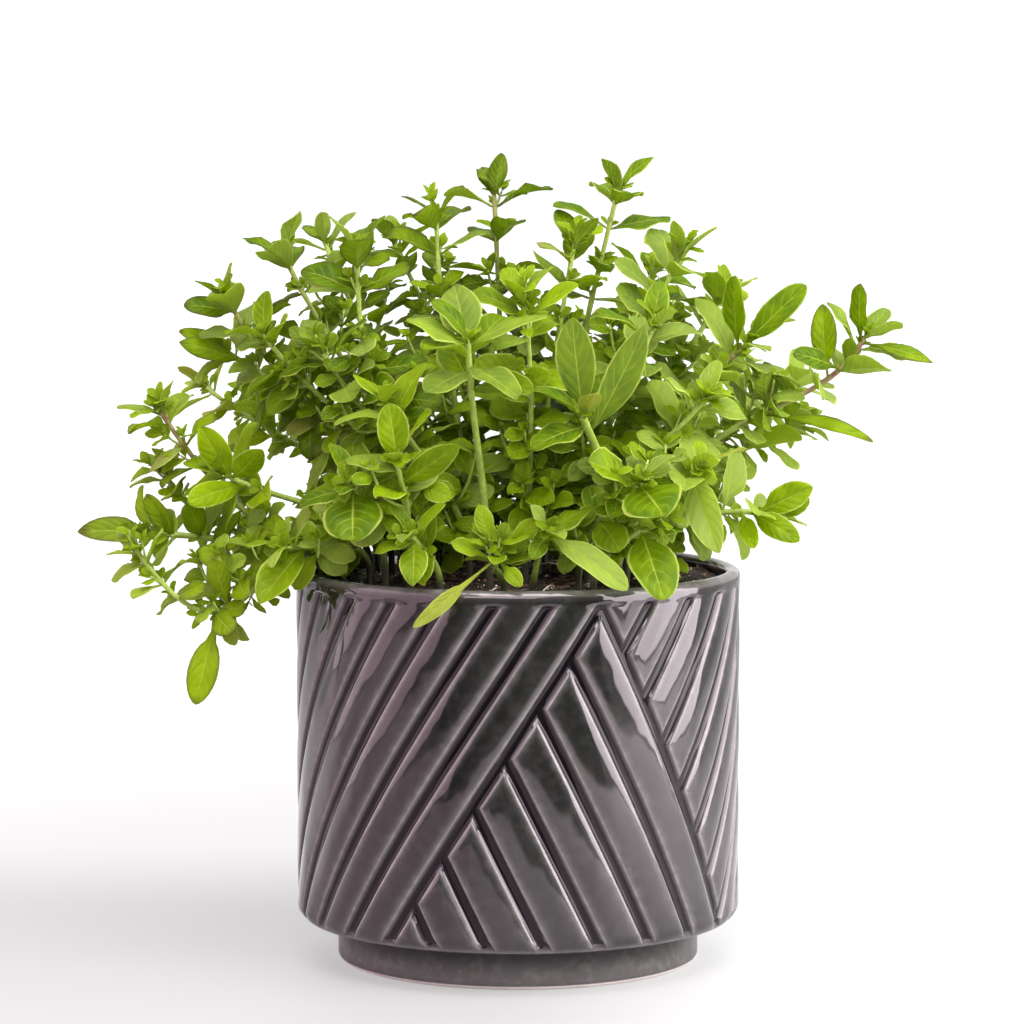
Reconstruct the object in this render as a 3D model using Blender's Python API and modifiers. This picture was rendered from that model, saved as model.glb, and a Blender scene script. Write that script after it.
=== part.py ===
"""Potted oregano: a bushy kitchen oregano growing in a glazed pot with slanting bands.

Lengths are in millimetres here, and every mesh is scaled to metres as it is made.
The origin is the centre of the pot's underside, +Z is up, and the pattern's point faces -Y.
"""
import math
import random
from collections import namedtuple

import bmesh
import bpy
from mathutils import Matrix, Vector, geometry
from mathutils.bvhtree import BVHTree

MM = 0.001
UP = Vector((0.0, 0.0, 1.0))
LIGHT_SIDE = Vector((0.0, -1.0, 0.0))

# Pot
POT_RADIUS = 65.0
POT_HEIGHT = 115.0
POT_SIDES = 28
POT_WALL = 4.4
FOOT_RADIUS = 53.0
FOOT_HEIGHT = 12.0
FOOT_BEVEL = 1.0
CORNER_RADIUS = 4.5
CORNER_STEPS = 3
LIP_RADIUS = 2.0
FLOOR_THICKNESS = 5.0
FOOT_WALL = 5.0
STEP_THICKNESS = 3.0
INNER_CHAMFER = (5.0, 4.0)
LIP_STEPS = 4

# Slanting bands on the pot, as lines on the unrolled wall: degrees round the pot at a height,
# and how many degrees they move for each millimetre up
RISING_LINE = (-36.0, 12.0, 0.583)
FALLING_LINE = (64.8, 12.0, -0.445)
REPEATS = 2
RISING_BANDS = 13
FALLING_BANDS = 7
GROOVE_FLOOR = 1.0
BAND_CHAMFER = 1.3
GROOVE_DEPTH = 1.2
BANDS_TOP = 111.6
BANDS_FADE = 1.8

# Soil
SOIL_GAP = 0.3
SOIL_CROWN = 112.3
SOIL_SAG = 3.0
SOIL_BUMP = 0.7
SOIL_RINGS = (20.0, 40.0)
HOLE_DEPTH = 9.0
HOLE_GAP = 0.35

# Stems: square, as oregano stems are
STEM_ROOT_WIDTH = 2.2
STEM_TIP_WIDTH = 1.3
STEM_STEPS = 5
STEM_CLEARANCE = 0.45
STRAIGHT_RISE = 2.0
ROOT_HANDLE = 0.42
TIP_HANDLE = 0.36
SWAY = 3.0
SWAY_GROWTH = 0.4
SWAY_TRIES = 40

# Leaves: LEAF_ROWS gives how far along a row lies and half its width, as shares of the leaf's
# length and width; the PAIR values run down from the tip, for a shoot whose full leaf is 16
BLADE_THICKNESS = 0.7
BLADE_CLEARANCE = 0.45
FOLDED_FROM = 17.5
LEAF_SHAPE = 0.6
TIP_LEAF_SHAPE = 0.46
LEAF_ROWS = ((0.38, 0.49), (0.72, 0.41))
LEAF_FOLD = 18.0
SIZE_JITTER = 0.12
LEAF_DROOP = (18.0, 52.0)
CHOSEN_DROOP = 24.0
LEAF_RISE = 0.18
RISE_LOSS = 0.05
FACE_UP = 0.75
FACE_AHEAD = 0.55
FACE_OUT = 0.5
FACE_LIGHT = 0.3
SPREAD_JITTER = 9.0
TURN_JITTER = 22.0
FULL_LEAF = 16.0
PAIR_DROP = (0.8, 3.6, 11.5, 21.0, 32.0, 45.0)
PAIR_GROWTH = (0.86, 1.05, 1.08, 1.0, 0.92, 0.88)
PAIR_SPREAD = (27.0, 54.0, 64.0, 72.0, 78.0, 84.0)
SEED = 7

# Each shoot: name, root x and y, tip x, y and z, how the tip points (degrees above level),
# length of its full leaves, pairs of leaves, how far the pairs are turned round the stem
SHOOTS = (
    ("top_left", -31, 6, -68, 6, 205, 64, 18, 4, 120),
    ("upright_left", -33, -13, -46, -16, 207, 88, 18, 5, 140),
    ("high_left", -14, 10, -24, 14, 217, 84, 17, 4, 124),
    ("high_centre", -4, 14, -7, 18, 223, 84, 17, 4, 58),
    ("high_inner", 6, 2, 16, -2, 208, 80, 16, 4, 95),
    ("high_right", 13, 12, 29, 8, 224, 80, 17, 5, 150),
    ("shoulder_right", 25, 10, 60, 12, 193, 60, 15, 4, 112),
    ("upper_right", 22, 5, 46, -2, 204, 68, 18, 3, 160),
    ("red_right", 28, 0, 65, -10, 180, 48, 21, 3, 26),
    ("far_right", 36, -6, 100, -12, 183, 50, 17, 4, 63),
    ("low_right", 41, 2, 81, 5, 156, 22, 14, 3, 10),
    ("droop_right", 37, -18, 71, -26, 133, -18, 16, 3, 47),
    ("rim_right", 28, -36, 50, -47, 147, 20, 18, 2, 84),
    ("front_right", 17, -40, 34, -60, 145, 26, 17, 2, 31),
    ("thick_front", 31, -26, 18, -57, 163, 50, 19, 2, 68),
    ("front_heart", 21, -47, 37, -54, 132, 34, 14, 2, 15),
    ("front_long", 4, -46, 8, -58, 131, 40, 14, 2, 52),
    ("rosette", -8, -30, -14, -48, 183, 70, 19, 3, 89),
    ("front_centre", -4, -40, -6, -57, 124, 42, 12, 2, 36),
    ("front_left", -22, -44, -30, -56, 130, 54, 13, 3, 73),
    ("oval_left", -31, -36, -34, -55, 150, 66, 14, 3, 20),
    ("heart_left", -38, -26, -47, -49, 143, 36, 17, 3, 57),
    ("rim_left", -43, -14, -66, -34, 124, 4, 16, 2, 4),
    ("side_left", -43, -2, -84, -14, 143, 34, 19, 4, 41),
    ("reach_left", -47, -10, -103, -8, 160, 62, 15, 5, 122),
    ("curl_left", -50, 2, -108, -14, 126, 4, 14, 4, 25),
    ("twig_left", -48, 10, -103, 0, 142, 80, 12, 4, 62),
    ("hang_left", -49, -20, -109, -26, 122, 60, 13, 5, 9),
    ("shoulder_left", -37, 4, -84, 2, 192, 60, 16, 4, 156),
    ("elbow_left", -33, 13, -86, 8, 178, 30, 16, 4, 83),
    ("mid_left", -22, -6, -56, -22, 179, 58, 16, 4, 30),
    ("inner_left", -26, 2, -73, -12, 183, 56, 16, 3, 15),
    ("mid_front", -14, -20, -36, -42, 165, 58, 16, 4, 67),
    ("mid_centre", 2, -14, 2, -34, 193, 78, 16, 4, 14),
    ("mid_right", 17, -10, 38, -30, 186, 66, 17, 4, 51),
    ("inner_right", 20, -22, 52, -38, 166, 50, 16, 3, 88),
    ("back_far_right", 33, 22, 82, 40, 165, 34, 15, 3, 35),
    ("back_high_right", 14, 28, 40, 46, 198, 62, 15, 3, 72),
    ("back_right", 26, 36, 63, 60, 168, 40, 16, 3, 19),
    ("back_mid_right", 8, 40, 20, 72, 178, 50, 15, 3, 56),
    ("back_low_right", 14, 47, 30, 92, 132, 6, 15, 3, 3),
    ("back_high", -6, 32, -37, 44, 208, 66, 15, 3, 40),
    ("back_mid_left", -16, 42, -26, 76, 172, 46, 15, 3, 77),
    ("back_low_left", -12, 49, -24, 94, 138, 8, 15, 3, 24),
    ("back_high_left", -24, 26, -58, 38, 209, 66, 15, 3, 61),
    ("back_left", -33, 34, -66, 66, 156, 32, 16, 3, 8),
    ("back_far_left", -42, 22, -94, 40, 165, 34, 15, 3, 45),
)

# Shoots that lean out over the rim or hang: the two points that steer their curves
STEERED = {
    "reach_left": ((-70, -10, 120), (-91, -8, 137)),
    "curl_left": ((-67, -4, 121), (-88, -12, 125)),
    "twig_left": ((-69, 6, 119), (-99, 2, 121)),
    "hang_left": ((-76, -22, 144), (-78, -26, 72)),
    "far_right": ((38, -8, 165), (86, -12, 156)),
}

# Leaves that stand out: shoot, how far along it, tip x, y and z, width, the way the face looks
CHOSEN_LEAVES = (
    ("front_heart", 0.88, 40, -68, 113, 15.5, (0.1, -1.0, 0.35)),
    ("front_right", 0.97, 40, -76, 137, 19.0, (0.0, -0.75, 0.75)),
    ("rim_right", 0.96, 56, -58, 125, 11.0, (-0.1, -1.0, 0.30)),
    ("front_long", 0.92, 30, -71, 116, 9.5, (0.35, -0.70, 0.65)),
    ("front_left", 0.90, -29, -68, 117, 9.0, (0.0, -1.0, 0.30)),
    ("front_centre", 0.97, -29, -71, 106, 4.8, (0.2, -1.0, 0.30)),
    ("front_centre", 0.90, -19, -62, 125, 5.5, (0.0, -0.8, 0.60)),
    ("front_centre", 0.97, 1, -67, 117, 5.0, (0.0, -1.0, 0.30)),
    ("front_centre", 0.98, -15, -58, 137, 5.5, (-0.2, -1.0, 0.20)),
    ("front_centre", 0.93, 1, -60, 138, 6.0, (0.2, -1.0, 0.20)),
    ("heart_left", 0.95, -46, -63, 129, 18.0, (0.0, -0.85, 0.50)),
    ("rim_left", 0.80, -73, -44, 109, 12.0, (-0.2, -0.90, 0.50)),
    ("hang_left", 0.60, -93, -30, 80, 9.5, (-0.1, -1.0, 0.10)),
    ("hang_left", 0.56, -87, -35, 122, 6.8, (-0.1, -1.0, 0.10)),
    ("hang_left", 0.50, -79, -33, 121, 6.8, (0.3, -1.0, 0.10)),
    ("oval_left", 0.97, -36, -58, 167, 9.5, (0.1, -1.0, 0.25)),
    ("oval_left", 0.84, -20, -61, 161, 8.0, (0.0, -1.0, 0.30)),
    ("thick_front", 0.98, 15, -60, 191, 12.0, (-0.2, -1.0, 0.15)),
    ("thick_front", 0.90, 35, -61, 189, 10.0, (0.4, -0.9, 0.20)),
    ("rosette", 0.99, -31, -58, 190, 10.5, (-0.2, -0.6, 0.80)),
    ("rosette", 0.99, -18, -38, 199, 12.5, (0.0, -0.8, 0.50)),
    ("rosette", 0.99, 8, -54, 191, 9.5, (0.2, -0.5, 0.80)),
    ("rosette", 0.90, 0, -64, 169, 10.5, (0.2, -0.7, 0.65)),
    ("rosette", 0.88, -25, -60, 170, 11.0, (-0.2, -0.7, 0.65)),
    ("side_left", 0.97, -91, -22, 158, 9.0, (-0.2, -1.0, 0.20)),
    ("side_left", 0.97, -73, -30, 152, 8.5, (0.3, -1.0, 0.20)),
    ("side_left", 0.88, -98, -27, 141, 8.0, (-0.1, -0.8, 0.60)),
    ("low_right", 0.75, 82, -14, 153, 11.0, (0.1, -0.8, 0.60)),
    ("droop_right", 0.95, 84, -30, 141, 9.0, (-0.2, -1.0, 0.20)),
    ("droop_right", 0.90, 80, -35, 126, 7.5, (0.0, -1.0, 0.20)),
    ("droop_right", 0.85, 67, -37, 124, 6.0, (-0.2, -1.0, 0.20)),
    ("shoulder_left", 0.97, -97, -2, 192, 7.5, (-0.1, -0.9, 0.50)),
    ("elbow_left", 0.97, -99, 2, 184, 7.5, (0.0, -0.8, 0.60)),
    ("elbow_left", 0.93, -102, -2, 178, 7.0, (-0.1, -0.9, 0.50)),
    ("red_right", 0.98, 83, -14, 198, 9.5, (0.2, -0.8, 0.50)),
    ("red_right", 0.98, 62, -20, 201, 8.0, (-0.3, -0.8, 0.40)),
    ("far_right", 0.98, 119, -16, 176, 6.5, (0.1, -0.6, 0.80)),
    ("far_right", 0.98, 98, -18, 199, 7.2, (-0.5, -0.8, 0.30)),
    ("far_right", 0.84, 87, -22, 193, 8.5, (-0.3, -1.0, 0.20)),
    ("far_right", 0.88, 76, -26, 185, 6.8, (0.0, -0.8, 0.60)),
    ("far_right", 0.64, 71, -26, 173, 7.5, (-0.1, -0.7, 0.70)),
    ("far_right", 0.62, 102, -20, 153, 6.0, (0.3, -0.6, 0.70)),
    ("curl_left", 0.97, -127, -18, 127, 9.0, (0.0, -0.8, 0.60)),
    ("curl_left", 0.86, -107, -20, 138, 6.8, (-0.2, -1.0, 0.30)),
    ("curl_left", 0.74, -95, -24, 136, 8.0, (0.2, -1.0, 0.40)),
)

# Ways to turn or shrink a leaf that would touch something: sideways, up, scale
LEAF_TRIES = (
    (0, 0, 1.0), (16, 4, 1.0), (-16, 4, 1.0), (0, 16, 1.0), (0, -16, 1.0),
    (26, -10, 0.92), (-26, -10, 0.92), (14, 26, 0.9), (-14, 26, 0.9), (0, -32, 0.9),
    (38, 8, 0.85), (-38, 8, 0.85), (24, 34, 0.8), (-24, 34, 0.8), (0, 0, 0.75),
    (46, -20, 0.75), (-46, -20, 0.75),
)

Leaf = namedtuple("Leaf", "shoot base aim face length width droop")
Solid = namedtuple("Solid", "owner tree low high")


def clamp(value):
    """Value kept between 0 and 1."""
    return max(0.0, min(1.0, value))


def add_object(name, points, faces, material, collection):
    """One named object, with its own material, from points in millimetres."""
    mesh = bpy.data.meshes.new(name)
    mesh.from_pydata([Vector(point) * MM for point in points], [], faces)
    mesh.materials.append(material)
    thing = bpy.data.objects.new(name, mesh)
    collection.objects.link(thing)
    return thing


def make_material(name, colour, roughness, metallic=0.0):
    """A plain Principled material."""
    material = bpy.data.materials.new(name)
    material.use_nodes = True
    shader = material.node_tree.nodes["Principled BSDF"]
    shader.inputs["Base Color"].default_value = (*colour, 1.0)
    shader.inputs["Roughness"].default_value = roughness
    shader.inputs["Metallic"].default_value = metallic
    return material


def apply_boolean(thing, operand, collection):
    """Apply one Boolean between the object and a whole collection, then empty the collection."""
    modifier = thing.modifiers.new(operand.title(), "BOOLEAN")
    modifier.operation = operand
    modifier.operand_type = "COLLECTION"
    modifier.collection = collection
    modifier.solver = "EXACT"
    view = bpy.context.evaluated_depsgraph_get()
    mesh = bpy.data.meshes.new_from_object(thing.evaluated_get(view))
    thing.modifiers.clear()
    thing.data = mesh
    for other in list(collection.objects):
        bpy.data.objects.remove(other)
    bpy.data.collections.remove(collection)


def helper_collection(name):
    """A collection for the shapes that a Boolean uses up."""
    collection = bpy.data.collections.new(name)
    bpy.context.scene.collection.children.link(collection)
    return collection


def pot_profile():
    """Radius and height from the underside's centre, up the outside, to the floor inside."""
    inner = POT_RADIUS - POT_WALL
    corner = (POT_RADIUS - CORNER_RADIUS, FOOT_HEIGHT + CORNER_RADIUS)
    points = [(0.0, 0.0), (FOOT_RADIUS - FOOT_BEVEL, 0.0), (FOOT_RADIUS, FOOT_BEVEL)]
    points += [(FOOT_RADIUS, FOOT_HEIGHT - FOOT_BEVEL), (FOOT_RADIUS + FOOT_BEVEL, FOOT_HEIGHT)]
    for step in range(CORNER_STEPS + 1):
        angle = math.radians(-90.0 + 90.0 * step / CORNER_STEPS)
        points.append((corner[0] + CORNER_RADIUS * math.cos(angle),
                       corner[1] + CORNER_RADIUS * math.sin(angle)))
    middle = (POT_RADIUS + inner) / 2
    for step in range(LIP_STEPS + 1):
        angle = math.pi * step / LIP_STEPS
        points.append((middle + (POT_WALL / 2) * math.cos(angle),
                       POT_HEIGHT - LIP_RADIUS + LIP_RADIUS * math.sin(angle)))
    return points + list(reversed(inside_profile(0.0)))


def inside_profile(gap):
    """Radius and height inside the pot, from the floor's centre up, a gap clear of the wall."""
    inner = POT_RADIUS - POT_WALL - gap
    ledge = FOOT_HEIGHT + STEP_THICKNESS + gap
    narrow = FOOT_RADIUS - FOOT_WALL - gap
    across, up = INNER_CHAMFER
    return [(0.0, FLOOR_THICKNESS + gap), (narrow, FLOOR_THICKNESS + gap), (narrow, ledge),
            (inner - across, ledge), (inner, ledge + up)]


def profile_stations(points):
    """How far along the profile each point is, counted so that the wall reads its height."""
    along = [0.0]
    for first, second in zip(points, points[1:]):
        along.append(along[-1] + math.dist(first, second))
    wall_foot = points.index(next(point for point in points if point[0] > POT_RADIUS - 0.001))
    shift = points[wall_foot][1] - along[wall_foot]
    return [length + shift for length in along]


def slanting_bands():
    """Each raised band as half planes (across, up, offset) on the unrolled wall."""
    turn = 2.0 * math.pi * POT_RADIUS
    per_degree = turn / 360.0
    half_groove = GROOVE_FLOOR / 2
    lines = []
    for degrees, height, slope in (RISING_LINE, FALLING_LINE):
        steep = math.hypot(1.0, slope * per_degree)
        across, up = 1.0 / steep, -slope * per_degree / steep
        lines.append((across, up, across * degrees * per_degree + up * height))
    (across_1, up_1, offset_1), (across_2, up_2, offset_2) = lines
    period = turn / REPEATS
    rising_pitch = across_1 * period / RISING_BANDS
    gap_at_foot = (FALLING_LINE[0] - RISING_LINE[0]) * per_degree
    falling_pitch = across_2 * gap_at_foot / FALLING_BANDS
    bands = []
    for repeat in range(-REPEATS, REPEATS + 1):
        rising = offset_1 + across_1 * period * repeat
        falling = offset_2 + across_2 * period * repeat
        next_rising = rising + across_1 * period
        for band in range(RISING_BANDS):
            right = next_rising - band * rising_pitch
            bands.append([(-across_1, -up_1, -right + half_groove),
                          (across_1, up_1, right - rising_pitch + half_groove),
                          (across_2, up_2, falling + half_groove)])
        for band in range(FALLING_BANDS):
            right = falling - band * falling_pitch
            bands.append([(-across_2, -up_2, -right + half_groove),
                          (across_2, up_2, right - falling_pitch + half_groove),
                          (across_1, up_1, rising + half_groove)])
    return bands


def clip_outline(outline, half_plane, inset=0.0):
    """The part of a convex outline that lies inside a half plane."""
    across, up, offset = half_plane
    kept = []
    for first, second in zip(outline, outline[1:] + outline[:1]):
        depth_1 = across * first[0] + up * first[1] - offset - inset
        depth_2 = across * second[0] + up * second[1] - offset - inset
        if depth_1 >= 0.0:
            kept.append(first)
        if depth_1 * depth_2 < 0.0:
            share = depth_1 / (depth_1 - depth_2)
            kept.append((first[0] + (second[0] - first[0]) * share,
                         first[1] + (second[1] - first[1]) * share))
    return kept


def bands_foot():
    """Where the grooves reach their full depth on the bottom corner, and the length of one step."""
    corner_step = CORNER_RADIUS * math.pi / 2 / CORNER_STEPS
    return FOOT_HEIGHT + CORNER_RADIUS - corner_step, corner_step


def groove_depth(across, up, bands):
    """How deep the wall is sunk at a place on the unrolled wall."""
    height = 0.0
    for band in bands:
        height = max(height, min(a * across + u * up - offset for a, u, offset in band))
    full_from, corner_step = bands_foot()
    fade = clamp((up - full_from) / corner_step + 1.0) * clamp((BANDS_TOP - up) / BANDS_FADE)
    return GROOVE_DEPTH * (1.0 - clamp(height / BAND_CHAMFER)) * fade


def unrolled_sheet(stations, bands):
    """Points and triangles of the unrolled pot, with the bands' edges drawn in."""
    half_turn = math.pi * POT_RADIUS
    low, high = stations[0], stations[-1]
    points, edges = [], []

    def draw(outline, closed):
        start = len(points)
        points.extend(Vector(point) for point in outline)
        last = len(points) - 1
        edges.extend((index, index + 1) for index in range(start, last))
        if closed:
            edges.append((last, start))

    for side in range(POT_SIDES + 1):
        across = half_turn * (2.0 * side / POT_SIDES - 1.0)
        draw([(across, low), (across, high)], False)
    for level in (*stations, BANDS_TOP):
        draw([(-half_turn, level), (half_turn, level)], False)
    bottom, top = bands_foot()[0], BANDS_TOP - BANDS_FADE
    field = [(-half_turn, bottom), (half_turn, bottom), (half_turn, top), (-half_turn, top)]
    for band in bands:
        for inset in (0.0, BAND_CHAMFER):
            outline = field
            for half_plane in band:
                outline = clip_outline(outline, half_plane, inset)
            if len(outline) > 2:
                draw(outline, True)
    found = geometry.delaunay_2d_cdt(points, edges, [], 0, 0.001)
    return found[0], found[2]


def build_pot(material, collection):
    """The pot: its unrolled sheet, with sunk grooves, wrapped round the axis."""
    profile = pot_profile()
    stations = profile_stations(profile)
    bands = slanting_bands()
    corner = Vector((POT_RADIUS - CORNER_RADIUS, FOOT_HEIGHT + CORNER_RADIUS))
    sheet, faces = unrolled_sheet(stations, bands)
    points = []
    for across, up in sheet:
        step = max(1, next((i for i, station in enumerate(stations) if station >= up - 0.0005),
                           len(stations) - 1))
        share = (up - stations[step - 1]) / (stations[step] - stations[step - 1])
        place = Vector(profile[step - 1]).lerp(Vector(profile[step]), clamp(share))
        if FOOT_HEIGHT - 1.0 < up < BANDS_TOP:
            inward = Vector((corner.x - place.x, max(0.0, corner.y - place.y))).normalized()
            place += inward * groove_depth(across, up, bands)
        angle = across / POT_RADIUS
        points.append((place.x * math.sin(angle), -place.x * math.cos(angle), place.y))
    pot = add_object("pot", points, faces, material, collection)
    shape = bmesh.new()
    shape.from_mesh(pot.data)
    bmesh.ops.remove_doubles(shape, verts=shape.verts, dist=0.002 * MM)
    shape.to_mesh(pot.data)
    shape.free()
    pot.data.shade_smooth()
    pot.data.set_sharp_from_angle(angle=math.radians(30.0))
    return pot


def soil_top(x, y):
    """Height of the soil: mounded to the middle, with small lumps."""
    mound = SOIL_CROWN - SOIL_SAG * (x * x + y * y) / (POT_RADIUS - POT_WALL) ** 2
    lumps = math.sin(0.33 * x + 1.0) * math.cos(0.29 * y) + 0.6 * math.sin(0.61 * y + 0.23 * x)
    return mound + SOIL_BUMP * lumps / 1.6


def build_soil(material, collection):
    """The soil: a turned plug with a lumpy top and one plain hole for each stem."""
    profile = inside_profile(SOIL_GAP)
    profile += [(ring, SOIL_CROWN) for ring in (profile[-1][0], *reversed(SOIL_RINGS), 0.0)]
    mesh = bpy.data.meshes.new("soil outline")
    mesh.from_pydata([(r * MM, 0.0, z * MM) for r, z in reversed(profile)],
                     [(i, i + 1) for i in range(len(profile) - 1)], [])
    mesh.materials.append(material)
    soil = bpy.data.objects.new("soil", mesh)
    collection.objects.link(soil)
    screw = soil.modifiers.new("Turn", "SCREW")
    screw.steps = screw.render_steps = POT_SIDES
    screw.use_merge_vertices = True
    screw.merge_threshold = 0.00001
    view = bpy.context.evaluated_depsgraph_get()
    turned = bpy.data.meshes.new_from_object(soil.evaluated_get(view))
    soil.modifiers.clear()
    soil.data = turned
    for vertex in turned.vertices:
        if vertex.co.z > (SOIL_CROWN - 0.01) * MM:
            vertex.co.z = soil_top(vertex.co.x / MM, vertex.co.y / MM) * MM
    cutters = helper_collection("hole cutters")
    width = STEM_ROOT_WIDTH + 2.0 * HOLE_GAP
    for shoot in SHOOTS:
        x, y = shoot[1:3]
        top, bottom = POT_HEIGHT, hole_bottom(x, y)
        bpy.ops.mesh.primitive_cube_add(size=1.0, location=Vector((x, y, (top + bottom) / 2)) * MM)
        cutter = bpy.context.object
        cutter.scale = Vector((width, width, top - bottom)) * MM
        for owner in list(cutter.users_collection):
            owner.objects.unlink(cutter)
        cutters.objects.link(cutter)
    apply_boolean(soil, "DIFFERENCE", cutters)
    return soil


def hole_bottom(x, y):
    """Height of the floor of a stem's hole."""
    return soil_top(x, y) - HOLE_DEPTH


def shoot_path(shoot, sway):
    """Points along a shoot: up out of its hole, then one smooth curve to its tip."""
    root_x, root_y, tip_x, tip_y, tip_z, lean = shoot[1:7]
    start = Vector((root_x, root_y, soil_top(root_x, root_y) + STRAIGHT_RISE))
    tip = Vector((tip_x, tip_y, tip_z))
    outward = Vector((tip_x - root_x, tip_y - root_y, 0.0)).normalized()
    level = math.radians(lean)
    heading = outward * math.cos(level) + UP * math.sin(level)
    reach = (tip - start).length
    handle_1 = start + UP * reach * ROOT_HANDLE
    handle_2 = tip - heading * reach * TIP_HANDLE
    if shoot[0] in STEERED:
        handle_1, handle_2 = (Vector(point) for point in STEERED[shoot[0]])
    handle_1 += Vector((sway[0], sway[1], 0.0)) / 2
    handle_2 += Vector(sway)
    path = [Vector((root_x, root_y, hole_bottom(root_x, root_y) + HOLE_GAP)), start]
    for step in range(1, STEM_STEPS + 1):
        t = step / STEM_STEPS
        path.append((1 - t) ** 3 * start + 3 * t * (1 - t) ** 2 * handle_1
                    + 3 * t * t * (1 - t) * handle_2 + t ** 3 * tip)
    return path


def square_tube(path, swell=0.0):
    """Points and faces of a square stem that thins towards its tip."""
    points, faces = [], []
    side, last = Vector((1.0, 0.0, 0.0)), len(path) - 1
    for index, place in enumerate(path):
        ahead = (path[min(index + 1, last)] - path[max(index - 1, 0)]).normalized()
        side = (side - ahead * side.dot(ahead)).normalized()
        other = ahead.cross(side)
        share = max(0.0, (index - 1) / (last - 1))
        half = (STEM_ROOT_WIDTH + (STEM_TIP_WIDTH - STEM_ROOT_WIDTH) * share) / 2 + swell
        points += [place + side * half * a + other * half * b
                   for a, b in ((1, 1), (-1, 1), (-1, -1), (1, -1))]
    for index in range(last):
        for corner in range(4):
            a, b = 4 * index + corner, 4 * index + (corner + 1) % 4
            faces.append((a, b, b + 4, a + 4))
    end = 4 * last
    faces += [(3, 2, 1, 0), (end, end + 1, end + 2, end + 3)]
    return points, faces


def point_along(path, share):
    """Place and heading at a share of the shoot above the soil."""
    lengths = [(b - a).length for a, b in zip(path[1:], path[2:])]
    left = share * sum(lengths)
    for index, length in enumerate(lengths):
        if left <= length or index == len(lengths) - 1:
            first, second = path[index + 1], path[index + 2]
            return first.lerp(second, left / length), (second - first).normalized()
        left -= length
    return path[-1], UP


def leaf_rows(leaf):
    """Rows across a leaf: how far along, half its width there, and if it is folded at the rib."""
    folded = leaf.length >= FOLDED_FROM
    wide = [(share, leaf.width * half, folded) for share, half in LEAF_ROWS]
    return [(0.0, 0.0, False), *wide, (1.0, 0.0, False)]


def blade(leaf, swell=0.0, outer=False):
    """Points and faces of a thin closed leaf, pointed at both ends and bent down to its tip."""
    side = leaf.face.cross(leaf.aim).normalized()
    fold = math.radians(LEAF_FOLD)
    rows = leaf_rows(leaf)[1 if outer else 0:]
    half_thick = BLADE_THICKNESS / 2 + swell
    tops, unders, numbers = [], [], []
    for share, half, folded in rows:
        turn = leaf.droop * share
        place = leaf.base + leaf.length / leaf.droop * (
            leaf.aim * math.sin(turn) - leaf.face * (1.0 - math.cos(turn)))
        turn = leaf.droop * max(share, LEAF_ROWS[0][0])
        normal = leaf.face * math.cos(turn) + leaf.aim * math.sin(turn)
        ahead = leaf.aim * math.cos(turn) - leaf.face * math.sin(turn)
        spread = side * (half + swell) * math.cos(fold)
        lift = normal * (half + swell) * math.sin(fold) if folded else Vector()
        if half == 0.0:
            row = [place + ahead * (swell if share else -swell)]
        elif folded:
            row = [place + spread + lift, place, place - spread + lift]
        else:
            row = [place + spread, place - spread]
        numbers.append(list(range(len(tops), len(tops) + len(row))))
        tops += [point + normal * half_thick for point in row]
        unders += [point - normal * half_thick for point in row]
    skin = []
    for first, second in zip(numbers, numbers[1:]):
        if len(first) == 1:
            skin += [(first[0], b, a) for a, b in zip(second, second[1:])]
        elif len(second) == 1:
            skin += [(b, second[0], a) for a, b in zip(first, first[1:])]
        elif len(first) == 2:
            skin.append((first[1], second[1], second[0], first[0]))
        else:
            for a, b, c, d in zip(first, first[1:], second, second[1:]):
                skin += [(b, d, a), (d, c, a)]
    rim = [row[-1] for row in numbers] + [row[0] for row in reversed(numbers) if len(row) > 1]
    rim += numbers[0][1:-1]
    under = len(tops)
    faces = skin + [tuple(under + corner for corner in reversed(face)) for face in skin]
    faces += [(a + under, b + under, b, a) for a, b in zip(rim, rim[1:] + rim[:1])]
    return tops + unders, faces


def as_solid(owner, points, faces):
    """A shape ready for the clearance test."""
    low = [min(point[axis] for point in points) for axis in range(3)]
    high = [max(point[axis] for point in points) for axis in range(3)]
    return Solid(owner, BVHTree.FromPolygons(points, faces), low, high)


def touches(solid, others):
    """If a shape meets any of the others."""
    for other in others:
        apart = any(solid.low[axis] > other.high[axis] or other.low[axis] > solid.high[axis]
                    for axis in range(3))
        if not apart and solid.tree.overlap(other.tree):
            return True
    return False


def place_paths(fixed):
    """Every shoot's path, swayed until it is clear of the shoots before it."""
    draw = random.Random(SEED)
    paths, stems = {}, []
    for shoot in SHOOTS:
        for attempt in range(SWAY_TRIES):
            size = SWAY + SWAY_GROWTH * attempt
            sway = [draw.uniform(-size, size) for _ in range(3)]
            path = shoot_path(shoot, sway)
            thick = as_solid(shoot[0], *square_tube(path, STEM_CLEARANCE))
            clear_of_soil = [path[1] + UP * STRAIGHT_RISE, *path[2:]]
            above = as_solid(shoot[0], *square_tube(clear_of_soil, STEM_CLEARANCE))
            if not touches(thick, stems) and not touches(above, fixed):
                break
        else:
            raise ValueError("no clear path for " + shoot[0])
        paths[shoot[0]] = path
        stems.append(as_solid(shoot[0], *square_tube(path)))
    return paths, stems


def turned_leaf(leaf, sideways, up, scale):
    """The leaf turned about its base and shrunk."""
    side = leaf.face.cross(leaf.aim).normalized()
    turn = (Matrix.Rotation(math.radians(sideways), 3, leaf.face)
            @ Matrix.Rotation(math.radians(-up), 3, side))
    return leaf._replace(aim=(turn @ leaf.aim).normalized(), face=(turn @ leaf.face).normalized(),
                         length=leaf.length * scale, width=leaf.width * scale)


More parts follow.
